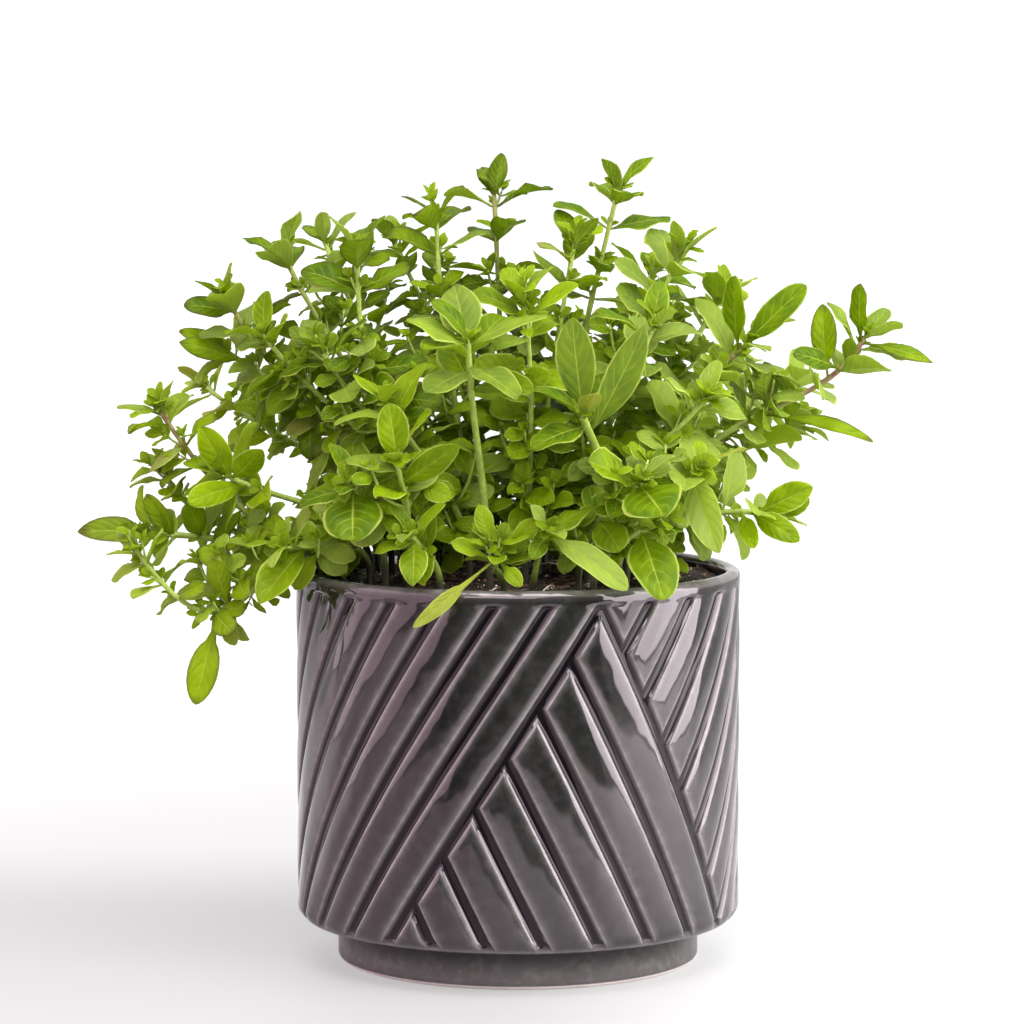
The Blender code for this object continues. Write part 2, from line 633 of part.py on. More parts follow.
def pair_of_leaves(shoot, path, rank, draw):
    """The two leaves of one pair, counted from the tip, each pair a quarter turn from the last."""
    full = shoot[7]
    height = sum((b - a).length for a, b in zip(path[1:], path[2:]))
    below_tip = PAIR_DROP[rank] * full / FULL_LEAF * draw.uniform(1 - SIZE_JITTER, 1 + SIZE_JITTER)
    place, ahead = point_along(path, clamp(1.0 - below_tip / height))
    spread = math.radians(PAIR_SPREAD[rank] + draw.uniform(-SPREAD_JITTER, SPREAD_JITTER))
    start = ahead.orthogonal().normalized()
    around = math.radians(90.0 * rank + draw.uniform(-TURN_JITTER, TURN_JITTER) + shoot[9])
    outward = Vector((place.x, place.y, 0.0)).normalized()
    tilt = (outward * FACE_OUT + LIGHT_SIDE * FACE_LIGHT) * clamp(rank / 2)
    leaves = []
    for half_turn in (0.0, math.pi):
        out = Matrix.Rotation(around + half_turn, 3, ahead) @ start
        aim = ahead * math.cos(spread) + out * math.sin(spread) + UP * (LEAF_RISE - RISE_LOSS * rank)
        aim.normalize()
        look = ahead * FACE_AHEAD + UP * FACE_UP + tilt
        face = (look - aim * look.dot(aim)).normalized()
        length = full * PAIR_GROWTH[rank] * draw.uniform(1 - SIZE_JITTER, 1 + SIZE_JITTER)
        shape = LEAF_SHAPE if rank else TIP_LEAF_SHAPE
        width = length * shape * draw.uniform(1 - SIZE_JITTER, 1 + SIZE_JITTER)
        droop = math.radians(draw.uniform(*LEAF_DROOP))
        leaves.append(Leaf(shoot[0], place, aim, face, length, width, droop))
    return leaves


def chosen_leaf(row, paths):
    """One of the leaves that stand out, from its row."""
    name, share, tip_x, tip_y, tip_z, width, look = row
    base = point_along(paths[name], share)[0]
    chord = Vector((tip_x, tip_y, tip_z)) - base
    droop = math.radians(CHOSEN_DROOP)
    aim = chord.normalized()
    face = (Vector(look) - aim * aim.dot(Vector(look))).normalized()
    lift = Matrix.Rotation(-droop / 2, 3, face.cross(aim).normalized())
    return Leaf(name, base, lift @ aim, lift @ face, chord.length * 1.01, width, droop)


def place_leaves(paths, stems, fixed):
    """Every leaf that keeps clear of the pot, the soil, the stems and the other leaves."""
    draw = random.Random(SEED + 1)
    placed, solids = [], list(fixed) + stems

    def settle(leaf):
        for sideways, up, scale in LEAF_TRIES:
            trial = turned_leaf(leaf, sideways, up, scale)
            whole = as_solid(leaf.shoot, *blade(trial, BLADE_CLEARANCE))
            outer = as_solid(leaf.shoot, *blade(trial, BLADE_CLEARANCE, outer=True))
            others = [solid for solid in solids if solid.owner != leaf.shoot]
            own = [solid for solid in solids if solid.owner == leaf.shoot]
            if not touches(whole, others) and not touches(outer, own):
                placed.append(trial)
                solids.append(as_solid(leaf.shoot, *blade(trial)))
                return

    for row in CHOSEN_LEAVES:
        settle(chosen_leaf(row, paths))
    for rank in range(max(shoot[8] for shoot in SHOOTS)):
        for shoot in SHOOTS:
            if rank < shoot[8]:
                for leaf in pair_of_leaves(shoot, paths[shoot[0]], rank, draw):
                    settle(leaf)
    return placed


def build_shoot(name, path, leaves, material, collection):
    """One leafy stem: the stem with all its leaves joined on."""
    points, faces = square_tube(path)
    stem = add_object("stem_" + name, points, faces, material, collection)
    parts = helper_collection(name + " leaves")
    for leaf in leaves:
        points, faces = blade(leaf)
        add_object(name + " leaf", points, faces, material, parts)
    apply_boolean(stem, "UNION", parts)
    return stem


def mesh_solid(thing):
    """An object's mesh, in millimetres, ready for the clearance test."""
    points = [vertex.co / MM for vertex in thing.data.vertices]
    return as_solid(thing.name, points, [tuple(face.vertices) for face in thing.data.polygons])


def main():
    """Clear the scene and build the potted oregano."""
    for thing in list(bpy.data.objects):
        bpy.data.objects.remove(thing)
    collection = helper_collection("potted oregano")
    glaze = make_material("grey glaze", (0.10, 0.095, 0.10), 0.15)
    earth = make_material("potting soil", (0.025, 0.017, 0.012), 0.95)
    pot = build_pot(glaze, collection)
    soil = build_soil(earth, collection)
    fixed = [mesh_solid(pot), mesh_solid(soil)]
    paths, stems = place_paths(fixed)
    leaves = place_leaves(paths, stems, fixed)
    for shoot in SHOOTS:
        name = shoot[0]
        green = make_material("green of " + name, (0.20, 0.36, 0.05), 0.5)
        build_shoot(name, paths[name], [leaf for leaf in leaves if leaf.shoot == name],
                    green, collection)


main()
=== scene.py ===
"""Potted oregano: the looks of a bushy kitchen oregano in a glazed pot with slanting bands.

Lengths are in millimetres here, and every mesh is scaled to metres as it is made.
The shoots and their main leaves grow by the same rule, from the same seed, as in the CAD model, so
each leafy stem made here stands where its node stands. Smaller leaves, veins and hairs come on top.
"""
import math
import random
from collections import namedtuple

import bpy
import numpy as np
from mathutils import Matrix, Vector, geometry, noise
from mathutils.bvhtree import BVHTree


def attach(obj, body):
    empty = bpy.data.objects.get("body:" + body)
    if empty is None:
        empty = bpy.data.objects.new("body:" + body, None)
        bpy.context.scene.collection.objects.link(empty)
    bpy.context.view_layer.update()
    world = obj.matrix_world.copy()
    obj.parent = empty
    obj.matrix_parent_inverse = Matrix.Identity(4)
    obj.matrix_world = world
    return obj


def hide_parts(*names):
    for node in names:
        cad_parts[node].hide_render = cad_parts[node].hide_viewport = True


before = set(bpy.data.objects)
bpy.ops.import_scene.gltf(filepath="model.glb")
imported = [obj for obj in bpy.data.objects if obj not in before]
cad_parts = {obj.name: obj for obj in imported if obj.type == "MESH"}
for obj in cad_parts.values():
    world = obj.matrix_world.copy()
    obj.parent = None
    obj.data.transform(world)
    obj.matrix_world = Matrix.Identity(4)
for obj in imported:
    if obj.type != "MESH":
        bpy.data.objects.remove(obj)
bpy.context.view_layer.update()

MM = 0.001
UP = Vector((0.0, 0.0, 1.0))
LIGHT_SIDE = Vector((0.0, -1.0, 0.0))

# Pot
POT_RADIUS = 65.0
POT_HEIGHT = 115.0
POT_WALL = 4.4
FOOT_RADIUS = 53.0
FOOT_HEIGHT = 12.0
FOOT_BEVEL = 1.0
FOOT_FLARE = 0.6
FOOT_ROUND = 1.8
CORNER_RADIUS = 4.5
LIP_RADIUS = 2.0
FLOOR_THICKNESS = 5.0
FOOT_WALL = 5.0
STEP_THICKNESS = 3.0
INNER_CHAMFER = (5.0, 4.0)
CAD_CORNER_STEPS = 3
ROUND_STEPS = 10
POT_SIDES = 150
BARE_RING = (0.7, 0.25)

# Slanting bands on the pot, as lines on the unrolled wall: degrees round the pot at a height,
# and how many degrees they move for each millimetre up
RISING_LINE = (-36.0, 12.0, 0.583)
FALLING_LINE = (64.8, 12.0, -0.445)
REPEATS = 2
RISING_BANDS = 13
FALLING_BANDS = 7
GROOVE_DEPTH = 1.5
BANDS_TOP = 111.6
BANDS_FADE = 1.8
# A groove's section: distance from its middle, and how much of its depth is left there
GROOVE_SECTION = ((0.0, 1.0), (0.6, 0.99), (1.0, 0.93), (1.3, 0.80), (1.6, 0.59), (1.85, 0.41),
                  (2.15, 0.29), (2.6, 0.205), (3.3, 0.13), (4.4, 0.06), (6.0, 0.01), (7.4, 0.0))
POOL_WIDTH = 1.3
SLOPE_REACH = 0.16
# The glaze's masks: how strong, then where and how wide. It pools in the grooves and in a ring at
# the foot. It wears thin and pale on the bands' edges (twice), the pot's bottom corner and the lip; on
# the bands' edges and the lip that pale is also a painted highlight, and on the foot it is painted
# light, paler towards the bottom.
POOL_EDGE = (0.9, 1.05)
POOL_RING = (0.95, 1.5, 0.45)
BAND_WEAR_AND_HIGHLIGHT = ((1.0, 2.15, 0.38), (0.26, 2.7, 1.2))
CORNER_WEAR = (0.8, FOOT_HEIGHT + 0.8, 0.6)
FOOT_PAINTED_LIGHT = (0.75, 2.5, 8.0)
LIP_WEAR_AND_HIGHLIGHT = (0.75, POT_HEIGHT - 2.6, 2.0)

# Soil
SOIL_GAP = 0.3
SOIL_CROWN = 112.3
SOIL_SAG = 3.0
SOIL_BUMP = 0.7
SOIL_HEAP = 2.0
HOLE_DEPTH = 9.0
HOLE_GAP = 0.35
SOIL_SIDES = 120
SOIL_STEPS = 52
CRUMBS = 900
FIBRES = 190

# Stems: square, as oregano stems are
STEM_ROOT_WIDTH = 2.2
STEM_TIP_WIDTH = 1.3
STEM_STEPS = 5
STEM_CLEARANCE = 0.45
STRAIGHT_RISE = 2.0
ROOT_HANDLE = 0.42
TIP_HANDLE = 0.36
SWAY = 3.0
SWAY_GROWTH = 0.4
SWAY_TRIES = 40
FINE_STEPS = 26
STEM_SIDES = 8

# Leaves of the CAD model
BLADE_THICKNESS = 0.7
BLADE_CLEARANCE = 0.45
FOLDED_FROM = 17.5
LEAF_SHAPE = 0.6
TIP_LEAF_SHAPE = 0.46
LEAF_ROWS = ((0.38, 0.49), (0.72, 0.41))
LEAF_FOLD = 18.0
SIZE_JITTER = 0.12
LEAF_DROOP = (18.0, 52.0)
CHOSEN_DROOP = 24.0
LEAF_RISE = 0.18
RISE_LOSS = 0.05
FACE_UP = 0.75
FACE_AHEAD = 0.55
FACE_OUT = 0.5
FACE_LIGHT = 0.3
SPREAD_JITTER = 9.0
TURN_JITTER = 22.0
FULL_LEAF = 16.0
PAIR_DROP = (0.8, 3.6, 11.5, 21.0, 32.0, 45.0)
PAIR_GROWTH = (0.86, 1.05, 1.08, 1.0, 0.92, 0.88)
PAIR_SPREAD = (27.0, 54.0, 64.0, 72.0, 78.0, 84.0)
SEED = 7

# Each shoot: name, root x and y, tip x, y and z, how the tip points (degrees above level),
# length of its full leaves, pairs of leaves, how far the pairs are turned round the stem
SHOOTS = (
    ("top_left", -31, 6, -68, 6, 205, 64, 18, 4, 120),
    ("upright_left", -33, -13, -46, -16, 207, 88, 18, 5, 140),
    ("high_left", -14, 10, -24, 14, 217, 84, 17, 4, 124),
    ("high_centre", -4, 14, -7, 18, 223, 84, 17, 4, 58),
    ("high_inner", 6, 2, 16, -2, 208, 80, 16, 4, 95),
    ("high_right", 13, 12, 29, 8, 224, 80, 17, 5, 150),
    ("shoulder_right", 25, 10, 60, 12, 193, 60, 15, 4, 112),
    ("upper_right", 22, 5, 46, -2, 204, 68, 18, 3, 160),
    ("red_right", 28, 0, 65, -10, 180, 48, 21, 3, 26),
    ("far_right", 36, -6, 100, -12, 183, 50, 17, 4, 63),
    ("low_right", 41, 2, 81, 5, 156, 22, 14, 3, 10),
    ("droop_right", 37, -18, 71, -26, 133, -18, 16, 3, 47),
    ("rim_right", 28, -36, 50, -47, 147, 20, 18, 2, 84),
    ("front_right", 17, -40, 34, -60, 145, 26, 17, 2, 31),
    ("thick_front", 31, -26, 18, -57, 163, 50, 19, 2, 68),
    ("front_heart", 21, -47, 37, -54, 132, 34, 14, 2, 15),
    ("front_long", 4, -46, 8, -58, 131, 40, 14, 2, 52),
    ("rosette", -8, -30, -14, -48, 183, 70, 19, 3, 89),
    ("front_centre", -4, -40, -6, -57, 124, 42, 12, 2, 36),
    ("front_left", -22, -44, -30, -56, 130, 54, 13, 3, 73),
    ("oval_left", -31, -36, -34, -55, 150, 66, 14, 3, 20),
    ("heart_left", -38, -26, -47, -49, 143, 36, 17, 3, 57),
    ("rim_left", -43, -14, -66, -34, 124, 4, 16, 2, 4),
    ("side_left", -43, -2, -84, -14, 143, 34, 19, 4, 41),
    ("reach_left", -47, -10, -103, -8, 160, 62, 15, 5, 122),
    ("curl_left", -50, 2, -108, -14, 126, 4, 14, 4, 25),
    ("twig_left", -48, 10, -103, 0, 142, 80, 12, 4, 62),
    ("hang_left", -49, -20, -109, -26, 122, 60, 13, 5, 9),
    ("shoulder_left", -37, 4, -84, 2, 192, 60, 16, 4, 156),
    ("elbow_left", -33, 13, -86, 8, 178, 30, 16, 4, 83),
    ("mid_left", -22, -6, -56, -22, 179, 58, 16, 4, 30),
    ("inner_left", -26, 2, -73, -12, 183, 56, 16, 3, 15),
    ("mid_front", -14, -20, -36, -42, 165, 58, 16, 4, 67),
    ("mid_centre", 2, -14, 2, -34, 193, 78, 16, 4, 14),
    ("mid_right", 17, -10, 38, -30, 186, 66, 17, 4, 51),
    ("inner_right", 20, -22, 52, -38, 166, 50, 16, 3, 88),
    ("back_far_right", 33, 22, 82, 40, 165, 34, 15, 3, 35),
    ("back_high_right", 14, 28, 40, 46, 198, 62, 15, 3, 72),
    ("back_right", 26, 36, 63, 60, 168, 40, 16, 3, 19),
    ("back_mid_right", 8, 40, 20, 72, 178, 50, 15, 3, 56),
    ("back_low_right", 14, 47, 30, 92, 132, 6, 15, 3, 3),
    ("back_high", -6, 32, -37, 44, 208, 66, 15, 3, 40),
    ("back_mid_left", -16, 42, -26, 76, 172, 46, 15, 3, 77),
    ("back_low_left", -12, 49, -24, 94, 138, 8, 15, 3, 24),
    ("back_high_left", -24, 26, -58, 38, 209, 66, 15, 3, 61),
    ("back_left", -33, 34, -66, 66, 156, 32, 16, 3, 8),
    ("back_far_left", -42, 22, -94, 40, 165, 34, 15, 3, 45),
)

# Shoots that lean out over the rim or hang: the two points that steer their curves
STEERED = {
    "reach_left": ((-70, -10, 120), (-91, -8, 137)),
    "curl_left": ((-67, -4, 121), (-88, -12, 125)),
    "twig_left": ((-69, 6, 119), (-99, 2, 121)),
    "hang_left": ((-76, -22, 144), (-78, -26, 72)),
    "far_right": ((38, -8, 165), (86, -12, 156)),
}

# Leaves that stand out: shoot, how far along it, tip x, y and z, width, the way the face looks
CHOSEN_LEAVES = (
    ("front_heart", 0.88, 40, -68, 113, 15.5, (0.1, -1.0, 0.35)),
    ("front_right", 0.97, 40, -76, 137, 19.0, (0.0, -0.75, 0.75)),
    ("rim_right", 0.96, 56, -58, 125, 11.0, (-0.1, -1.0, 0.30)),
    ("front_long", 0.92, 30, -71, 116, 9.5, (0.35, -0.70, 0.65)),
    ("front_left", 0.90, -29, -68, 117, 9.0, (0.0, -1.0, 0.30)),
    ("front_centre", 0.97, -29, -71, 106, 4.8, (0.2, -1.0, 0.30)),
    ("front_centre", 0.90, -19, -62, 125, 5.5, (0.0, -0.8, 0.60)),
    ("front_centre", 0.97, 1, -67, 117, 5.0, (0.0, -1.0, 0.30)),
    ("front_centre", 0.98, -15, -58, 137, 5.5, (-0.2, -1.0, 0.20)),
    ("front_centre", 0.93, 1, -60, 138, 6.0, (0.2, -1.0, 0.20)),
    ("heart_left", 0.95, -46, -63, 129, 18.0, (0.0, -0.85, 0.50)),
    ("rim_left", 0.80, -73, -44, 109, 12.0, (-0.2, -0.90, 0.50)),
    ("hang_left", 0.60, -93, -30, 80, 9.5, (-0.1, -1.0, 0.10)),
    ("hang_left", 0.56, -87, -35, 122, 6.8, (-0.1, -1.0, 0.10)),
    ("hang_left", 0.50, -79, -33, 121, 6.8, (0.3, -1.0, 0.10)),
    ("oval_left", 0.97, -36, -58, 167, 9.5, (0.1, -1.0, 0.25)),
    ("oval_left", 0.84, -20, -61, 161, 8.0, (0.0, -1.0, 0.30)),
    ("thick_front", 0.98, 15, -60, 191, 12.0, (-0.2, -1.0, 0.15)),
    ("thick_front", 0.90, 35, -61, 189, 10.0, (0.4, -0.9, 0.20)),
    ("rosette", 0.99, -31, -58, 190, 10.5, (-0.2, -0.6, 0.80)),
    ("rosette", 0.99, -18, -38, 199, 12.5, (0.0, -0.8, 0.50)),
    ("rosette", 0.99, 8, -54, 191, 9.5, (0.2, -0.5, 0.80)),
    ("rosette", 0.90, 0, -64, 169, 10.5, (0.2, -0.7, 0.65)),
    ("rosette", 0.88, -25, -60, 170, 11.0, (-0.2, -0.7, 0.65)),
    ("side_left", 0.97, -91, -22, 158, 9.0, (-0.2, -1.0, 0.20)),
    ("side_left", 0.97, -73, -30, 152, 8.5, (0.3, -1.0, 0.20)),
    ("side_left", 0.88, -98, -27, 141, 8.0, (-0.1, -0.8, 0.60)),
    ("low_right", 0.75, 82, -14, 153, 11.0, (0.1, -0.8, 0.60)),
    ("droop_right", 0.95, 84, -30, 141, 9.0, (-0.2, -1.0, 0.20)),
    ("droop_right", 0.90, 80, -35, 126, 7.5, (0.0, -1.0, 0.20)),
    ("droop_right", 0.85, 67, -37, 124, 6.0, (-0.2, -1.0, 0.20)),
    ("shoulder_left", 0.97, -97, -2, 192, 7.5, (-0.1, -0.9, 0.50)),
    ("elbow_left", 0.97, -99, 2, 184, 7.5, (0.0, -0.8, 0.60)),
    ("elbow_left", 0.93, -102, -2, 178, 7.0, (-0.1, -0.9, 0.50)),
    ("red_right", 0.98, 83, -14, 198, 9.5, (0.2, -0.8, 0.50)),
    ("red_right", 0.98, 62, -20, 201, 8.0, (-0.3, -0.8, 0.40)),
    ("far_right", 0.98, 119, -16, 176, 6.5, (0.1, -0.6, 0.80)),
    ("far_right", 0.98, 98, -18, 199, 7.2, (-0.5, -0.8, 0.30)),
    ("far_right", 0.84, 87, -22, 193, 8.5, (-0.3, -1.0, 0.20)),
    ("far_right", 0.88, 76, -26, 185, 6.8, (0.0, -0.8, 0.60)),
    ("far_right", 0.64, 71, -26, 173, 7.5, (-0.1, -0.7, 0.70)),
    ("far_right", 0.62, 102, -20, 153, 6.0, (0.3, -0.6, 0.70)),
    ("curl_left", 0.97, -127, -18, 127, 9.0, (0.0, -0.8, 0.60)),
    ("curl_left", 0.86, -107, -20, 138, 6.8, (-0.2, -1.0, 0.30)),
    ("curl_left", 0.74, -95, -24, 136, 8.0, (0.2, -1.0, 0.40)),
)

# Ways to turn or shrink a leaf that would touch something: sideways, up, scale
LEAF_TRIES = (
    (0, 0, 1.0), (16, 4, 1.0), (-16, 4, 1.0), (0, 16, 1.0), (0, -16, 1.0),
    (26, -10, 0.92), (-26, -10, 0.92), (14, 26, 0.9), (-14, 26, 0.9), (0, -32, 0.9),
    (38, 8, 0.85), (-38, 8, 0.85), (24, 34, 0.8), (-24, 34, 0.8), (0, 0, 0.75),
    (46, -20, 0.75), (-46, -20, 0.75),
)

# How the shoots differ: how red a shoot's tip is, and how yellow its first chosen leaf and how pale
# its chosen leaves are. Below 0, yellow means olive with a burnt tip.
RED_TIPS = {"far_right": 1.0, "red_right": 0.9, "reach_left": 0.8, "high_centre": 0.6,
            "top_left": 0.3, "shoulder_left": 0.4, "high_right": 0.25, "twig_left": 0.5}
YELLOWED = {"curl_left": -1.0, "front_centre": 0.6}
PALE = {"front_long": 0.8, "rim_right": 0.9, "rosette": 0.4, "thick_front": 0.3, "low_right": 0.5}
# How much more often a shoot's other leaves are pale, as a painted backlit haze, and how much darker
# than others its leaves are, as painted shade (below 0, lighter, as painted light)
SHOOT_PAINTED_BACKLIGHT = {"inner_right": 0.35, "low_right": 0.5, "droop_right": 0.3, "back_right": 0.35,
                "back_far_right": 0.4, "mid_right": 0.2, "rim_right": 0.3}
SHOOT_PAINTED_SHADE = {"high_right": 0.35, "back_high_right": 0.3, "front_heart": 0.5, "heart_left": 0.5,
               "front_left": 0.2, "front_right": 0.3, "thick_front": 0.45, "rosette": 0.1,
               "back_left": -0.3, "back_far_left": -0.3, "back_low_left": -0.3, "back_mid_left": -0.3,
               "mid_centre": -0.3, "mid_front": -0.3, "mid_right": -0.2, "inner_right": -0.2}
# Painted shade and light on the bush as a whole: its leaves are darker towards its top, where the light
# falls strongest, and lighter low down, where it is shaded
BUSH_HEIGHT = 90.0
TOP_PAINTED_SHADE = 0.3
LOW_PAINTED_LIGHT = 0.2
TINT_JITTER = 0.36
# Thicker and bare stems, long leaf stalks as shares of the leaf, and how brown the leaves' rims are
THICK_STEMS = {"thick_front": 1.6, "rosette": 1.25}
BARE_STEMS = {"thick_front", "rosette"}
LONG_STALKS = {"hang_left": 0.3, "far_right": 0.24, "front_centre": 0.42, "red_right": 0.22}
BROWN_RIMS = {"top_left": 1.0, "shoulder_left": 1.0, "elbow_left": 1.0, "reach_left": 0.9,
              "high_centre": 0.9, "high_left": 0.6, "upright_left": 0.6, "far_right": 0.6,
              "twig_left": 1.0, "hang_left": 0.5, "back_high_left": 0.8, "back_high": 0.8,
              "curl_left": 0.5, "high_inner": 0.4}

# Side shoots: where their pairs sit and how long the leaves are, and how often they grow
SIDE_PAIRS = ((0.93, 8.5), (0.62, 11.0), (0.32, 11.5))
SIDE_SHOOT_SHARE = 0.6
SIDE_SHOOT_LENGTH = (7.0, 21.0)
LOWER_SPACING = (7.0, 10.5)
# Nothing grows this close to the soil in front, where the photo shows bare soil
BARE_FRONT = (-34.0, 9.0)

# Fine leaves: stalks, then for each grade the rows along the blade, the columns across it, its thickness
PETIOLE_SHARE = (0.10, 0.19)
PETIOLE_WIDTH = 0.75
LEAF_GRADES = {
    "full": ((0.05, 0.13, 0.25, 0.39, 0.54, 0.68, 0.81, 0.91, 0.975, 1.0),
             (-1.0, -0.9, -0.52, -0.11, 0.0, 0.11, 0.52, 0.9, 1.0), 0.34),
    "middle": ((0.06, 0.2, 0.38, 0.58, 0.78, 0.93, 1.0),
               (-1.0, -0.85, -0.13, 0.0, 0.13, 0.85, 1.0), 0.32),
    "small": ((0.12, 0.38, 0.7, 0.93, 1.0), (-1.0, -0.6, 0.0, 0.6, 1.0), 0.26),
}
SMALL_LEAF = 8.0
# Ranges that a fine leaf's shape is drawn from: how its outline narrows to base and tip, its fold
# and twist in degrees, and the curl, depth and count of the waves at its edge
OUTLINE_BASE = (0.54, 0.72)
OUTLINE_TIP = (0.5, 0.78)
BLADE_FOLD = (8.0, 26.0)
BLADE_TWIST = (-22.0, 22.0)
EDGE_CURL = (-0.05, 0.3)
WAVE_DEPTH = (0.02, 0.08)
WAVE_COUNT = (7.0, 12.0)
# The midrib: its width, and how deep it is above and how high below
RIB_WIDTH = 0.09
RIB_HOLLOW = 0.16
RIB_RIDGE = 0.3

# Small leaves: how side leaves face and how broad they are, then the tufts' pairs from the tip down
SIDE_FACE_AHEAD = 0.35
SIDE_FACE_UP = 0.6
SIDE_FACE_LIGHT = 0.7
SIDE_LEAF_SHAPE = (0.54, 0.68)
TUFT_SPREAD = (24.0, 50.0, 66.0)
TUFT_GROWTH = (0.62, 1.0, 0.95)
TUFT_LEAF_SHAPE = (0.48, 0.66)
TUFT_DROOP = (15.0, 55.0)
TIP_LOOK = (0.75, 0.0, 0.0)
TUFT_STALK = (1.0, 0.75, 0.6)
SIDE_STALK = (1.3, 1.15, 1.0, 0.9, 0.75)
# How often a leaf that isn't chosen yellows, and how often one has no tuft in its axil
YELLOWING = 0.03
BARE_AXILS = 0.15
# How much a stem swells at a pair of leaves, and how far from it
NODE_SWELL = 0.22
NODE_REACH = 1.6

# Hairs on the stems, and the loose bits on the soil
HAIRS = 110
HAIR_WIDTH = 0.07
HAIR_LENGTH = (0.35, 0.8)
CRUMB_SIZE = (0.35, 1.25)
CRUMB_REACH = 58.6
FIBRE_REACH = 56.0
FIBRE_LIMIT = 58.5
FIBRE_LIFT = 0.75
FIBRE_LENGTH = (2.5, 8.0)
FIBRE_WIDTH = (0.18, 0.6)

# A leaf's lines: midrib, side veins, and the edge, as shares of the leaf's half width or its length
VEIN_PAIRS = 5.5
MIDRIB_WIDTH = 0.085
MIDRIB_THINNING = 0.055
MIDRIB_CORE = 0.3
MIDRIB_SINK = 0.7
VEIN_BEND = 1.35
VEIN_SLANT = 0.36
VEIN_WIDTH = (0.02, 0.11)
VEIN_FADE = (0.35, 0.95)
LEAF_EDGE = (0.86, 0.97)

# Colours, as linear red, green and blue
WHITE = (1.0, 1.0, 1.0)
ROSY = (0.80, 0.68, 0.76)
# The leaf's two sides: dark, light, veins, edge, and roughness
UPPER_SIDE = ((0.066, 0.130, 0.0006), (0.265, 0.378, 0.002),
              (0.49, 0.56, 0.07), (0.56, 0.62, 0.13), 0.46)
UNDERSIDE = ((0.145, 0.22, 0.012), (0.31, 0.395, 0.035),
             (0.50, 0.55, 0.11), (0.50, 0.57, 0.13), 0.6)
PALE_LEAF = (0.33, 0.41, 0.105)
YELLOWED_LEAF = (0.40, 0.40, 0.10)
OLIVE_LEAF = (0.10, 0.12, 0.02)
BURNT_TIP = (0.060, 0.030, 0.016)
BROWN_RIM = (0.075, 0.050, 0.020)
LEAF_SHINE = 0.17
# The light that comes through a leaf
SEE_THROUGH = 0.5
LIT_THROUGH = ((0.38, 0.52, 0.001), (0.62, 0.76, 0.004))
PALE_LIT_THROUGH = (0.64, 0.76, 0.16)
YELLOW_LIT_THROUGH = (0.6, 0.5, 0.1)
STEM_COLOURS = ((0.20, 0.285, 0.028), (0.43, 0.53, 0.10))
STEM_FOOT_SHADE = (0.018, 0.014, 0.007)
STEM_RED = (0.155, 0.045, 0.035)
# The glaze in the grooves and on the foot shines less, as painted shade that dulls their reflections
GLAZE_SHINE = {"grey glaze": 0.5, "pooled glaze with painted shade": 0.2}
GLAZE_IOR = 1.68
GLAZE_TINT = (1.0, 0.87, 0.93)
GLAZE_COLOURS = ((0.0056, 0.0060, 0.0053), (0.012, 0.0125, 0.0112))
GLAZE_THIN = (0.026, 0.026, 0.023)
GLAZE_PURPLE = (0.020, 0.012, 0.023)
GLAZE_POOL = (0.0022, 0.0013, 0.0026)
# Pale glaze that wears thin on edges, also a painted highlight there and painted light on the foot
WORN_GLAZE_AND_HIGHLIGHT = (0.33, 0.30, 0.295)
BARE_CLAY = (0.86, 0.74, 0.72)
SOIL_COLOURS = {"potting soil": ((0.014, 0.008, 0.006), (0.095, 0.048, 0.030)),
                "soil crumb": ((0.020, 0.009, 0.007), (0.46, 0.225, 0.145)),
                "bark fibre": ((0.05, 0.026, 0.014), (0.24, 0.15, 0.085))}
PALE_GRIT = (0.80, 0.72, 0.65)
GRIT_CHANCE = (0.84, 0.88)

# Studio, in metres. The floor's tones light the pot and show in its glaze, dark in front as a painted
# dark reflection; the camera sees only the last one, and a painted glow that is dimmest at the pot's
# left, as a painted shadow.
FLOOR_REACH = 8.0
FLOOR_GAP = 0.0002
FLOOR_SPECKS = ((0.415, 0.410, 0.410), (0.425, 0.420, 0.420))
FLOOR_LEFT = (0.320, 0.275, 0.295)
FLOOR_RIGHT = (0.72, 0.705, 0.705)
FLOOR_BEHIND = (0.70, 0.69, 0.69)
FLOOR_IN_FRONT = (0.010, 0.010, 0.010)
FLOOR_SEEN = (0.166, 0.157, 0.158)
# Softboxes: place, what they look at, width, height, power and colour
LIGHTS = {
    "left softbox": ((-0.62, -0.16, 0.38), (0.0, -0.10, 0.36), 1.0, 0.74, 4.0, (1.0, 0.76, 0.87)),
    "right softbox": ((0.60, -0.28, 0.38), (0.0, -0.22, 0.36), 0.68, 0.74, 10.2, WHITE),
    "top softbox": ((0.05, -0.50, 0.95), (0.0, 0.0, 0.15), 0.8, 0.8, 15.5, WHITE),
    "front fill": ((-0.15, -1.10, 0.50), (0.0, 0.0, 0.16), 0.9, 0.4, 4.5, WHITE),
}
CAMERA_LENS = (146.6, 36.0)
CAMERA_PLACE = (-0.00175, -1.215, 0.247)
CAMERA_TILT = 5.45

Leaf = namedtuple("Leaf", "shoot base aim face length width droop")
Solid = namedtuple("Solid", "owner tree low high")
Skin = namedtuple("Skin", "points faces leaf_uv look kind")


# Growth: the same rule as in the CAD model

def clamp(value):
    """Value kept between 0 and 1."""
    return max(0.0, min(1.0, value))


def square_to(aim, look):
    """A look turned square to the aim."""
    return (look - aim * look.dot(aim)).normalized()


def opposite_sides(ahead, around):
    """The two ways out of a stem for a pair of leaves."""
    start = ahead.orthogonal().normalized()
    return [Matrix.Rotation(around + half_turn, 3, ahead) @ start for half_turn in (0.0, math.pi)]


def bezier(handles, t):
    """A point of the smooth curve that four points steer."""
    start, handle_1, handle_2, tip = handles
    return ((1 - t) ** 3 * start + 3 * t * (1 - t) ** 2 * handle_1
            + 3 * t * t * (1 - t) * handle_2 + t ** 3 * tip)


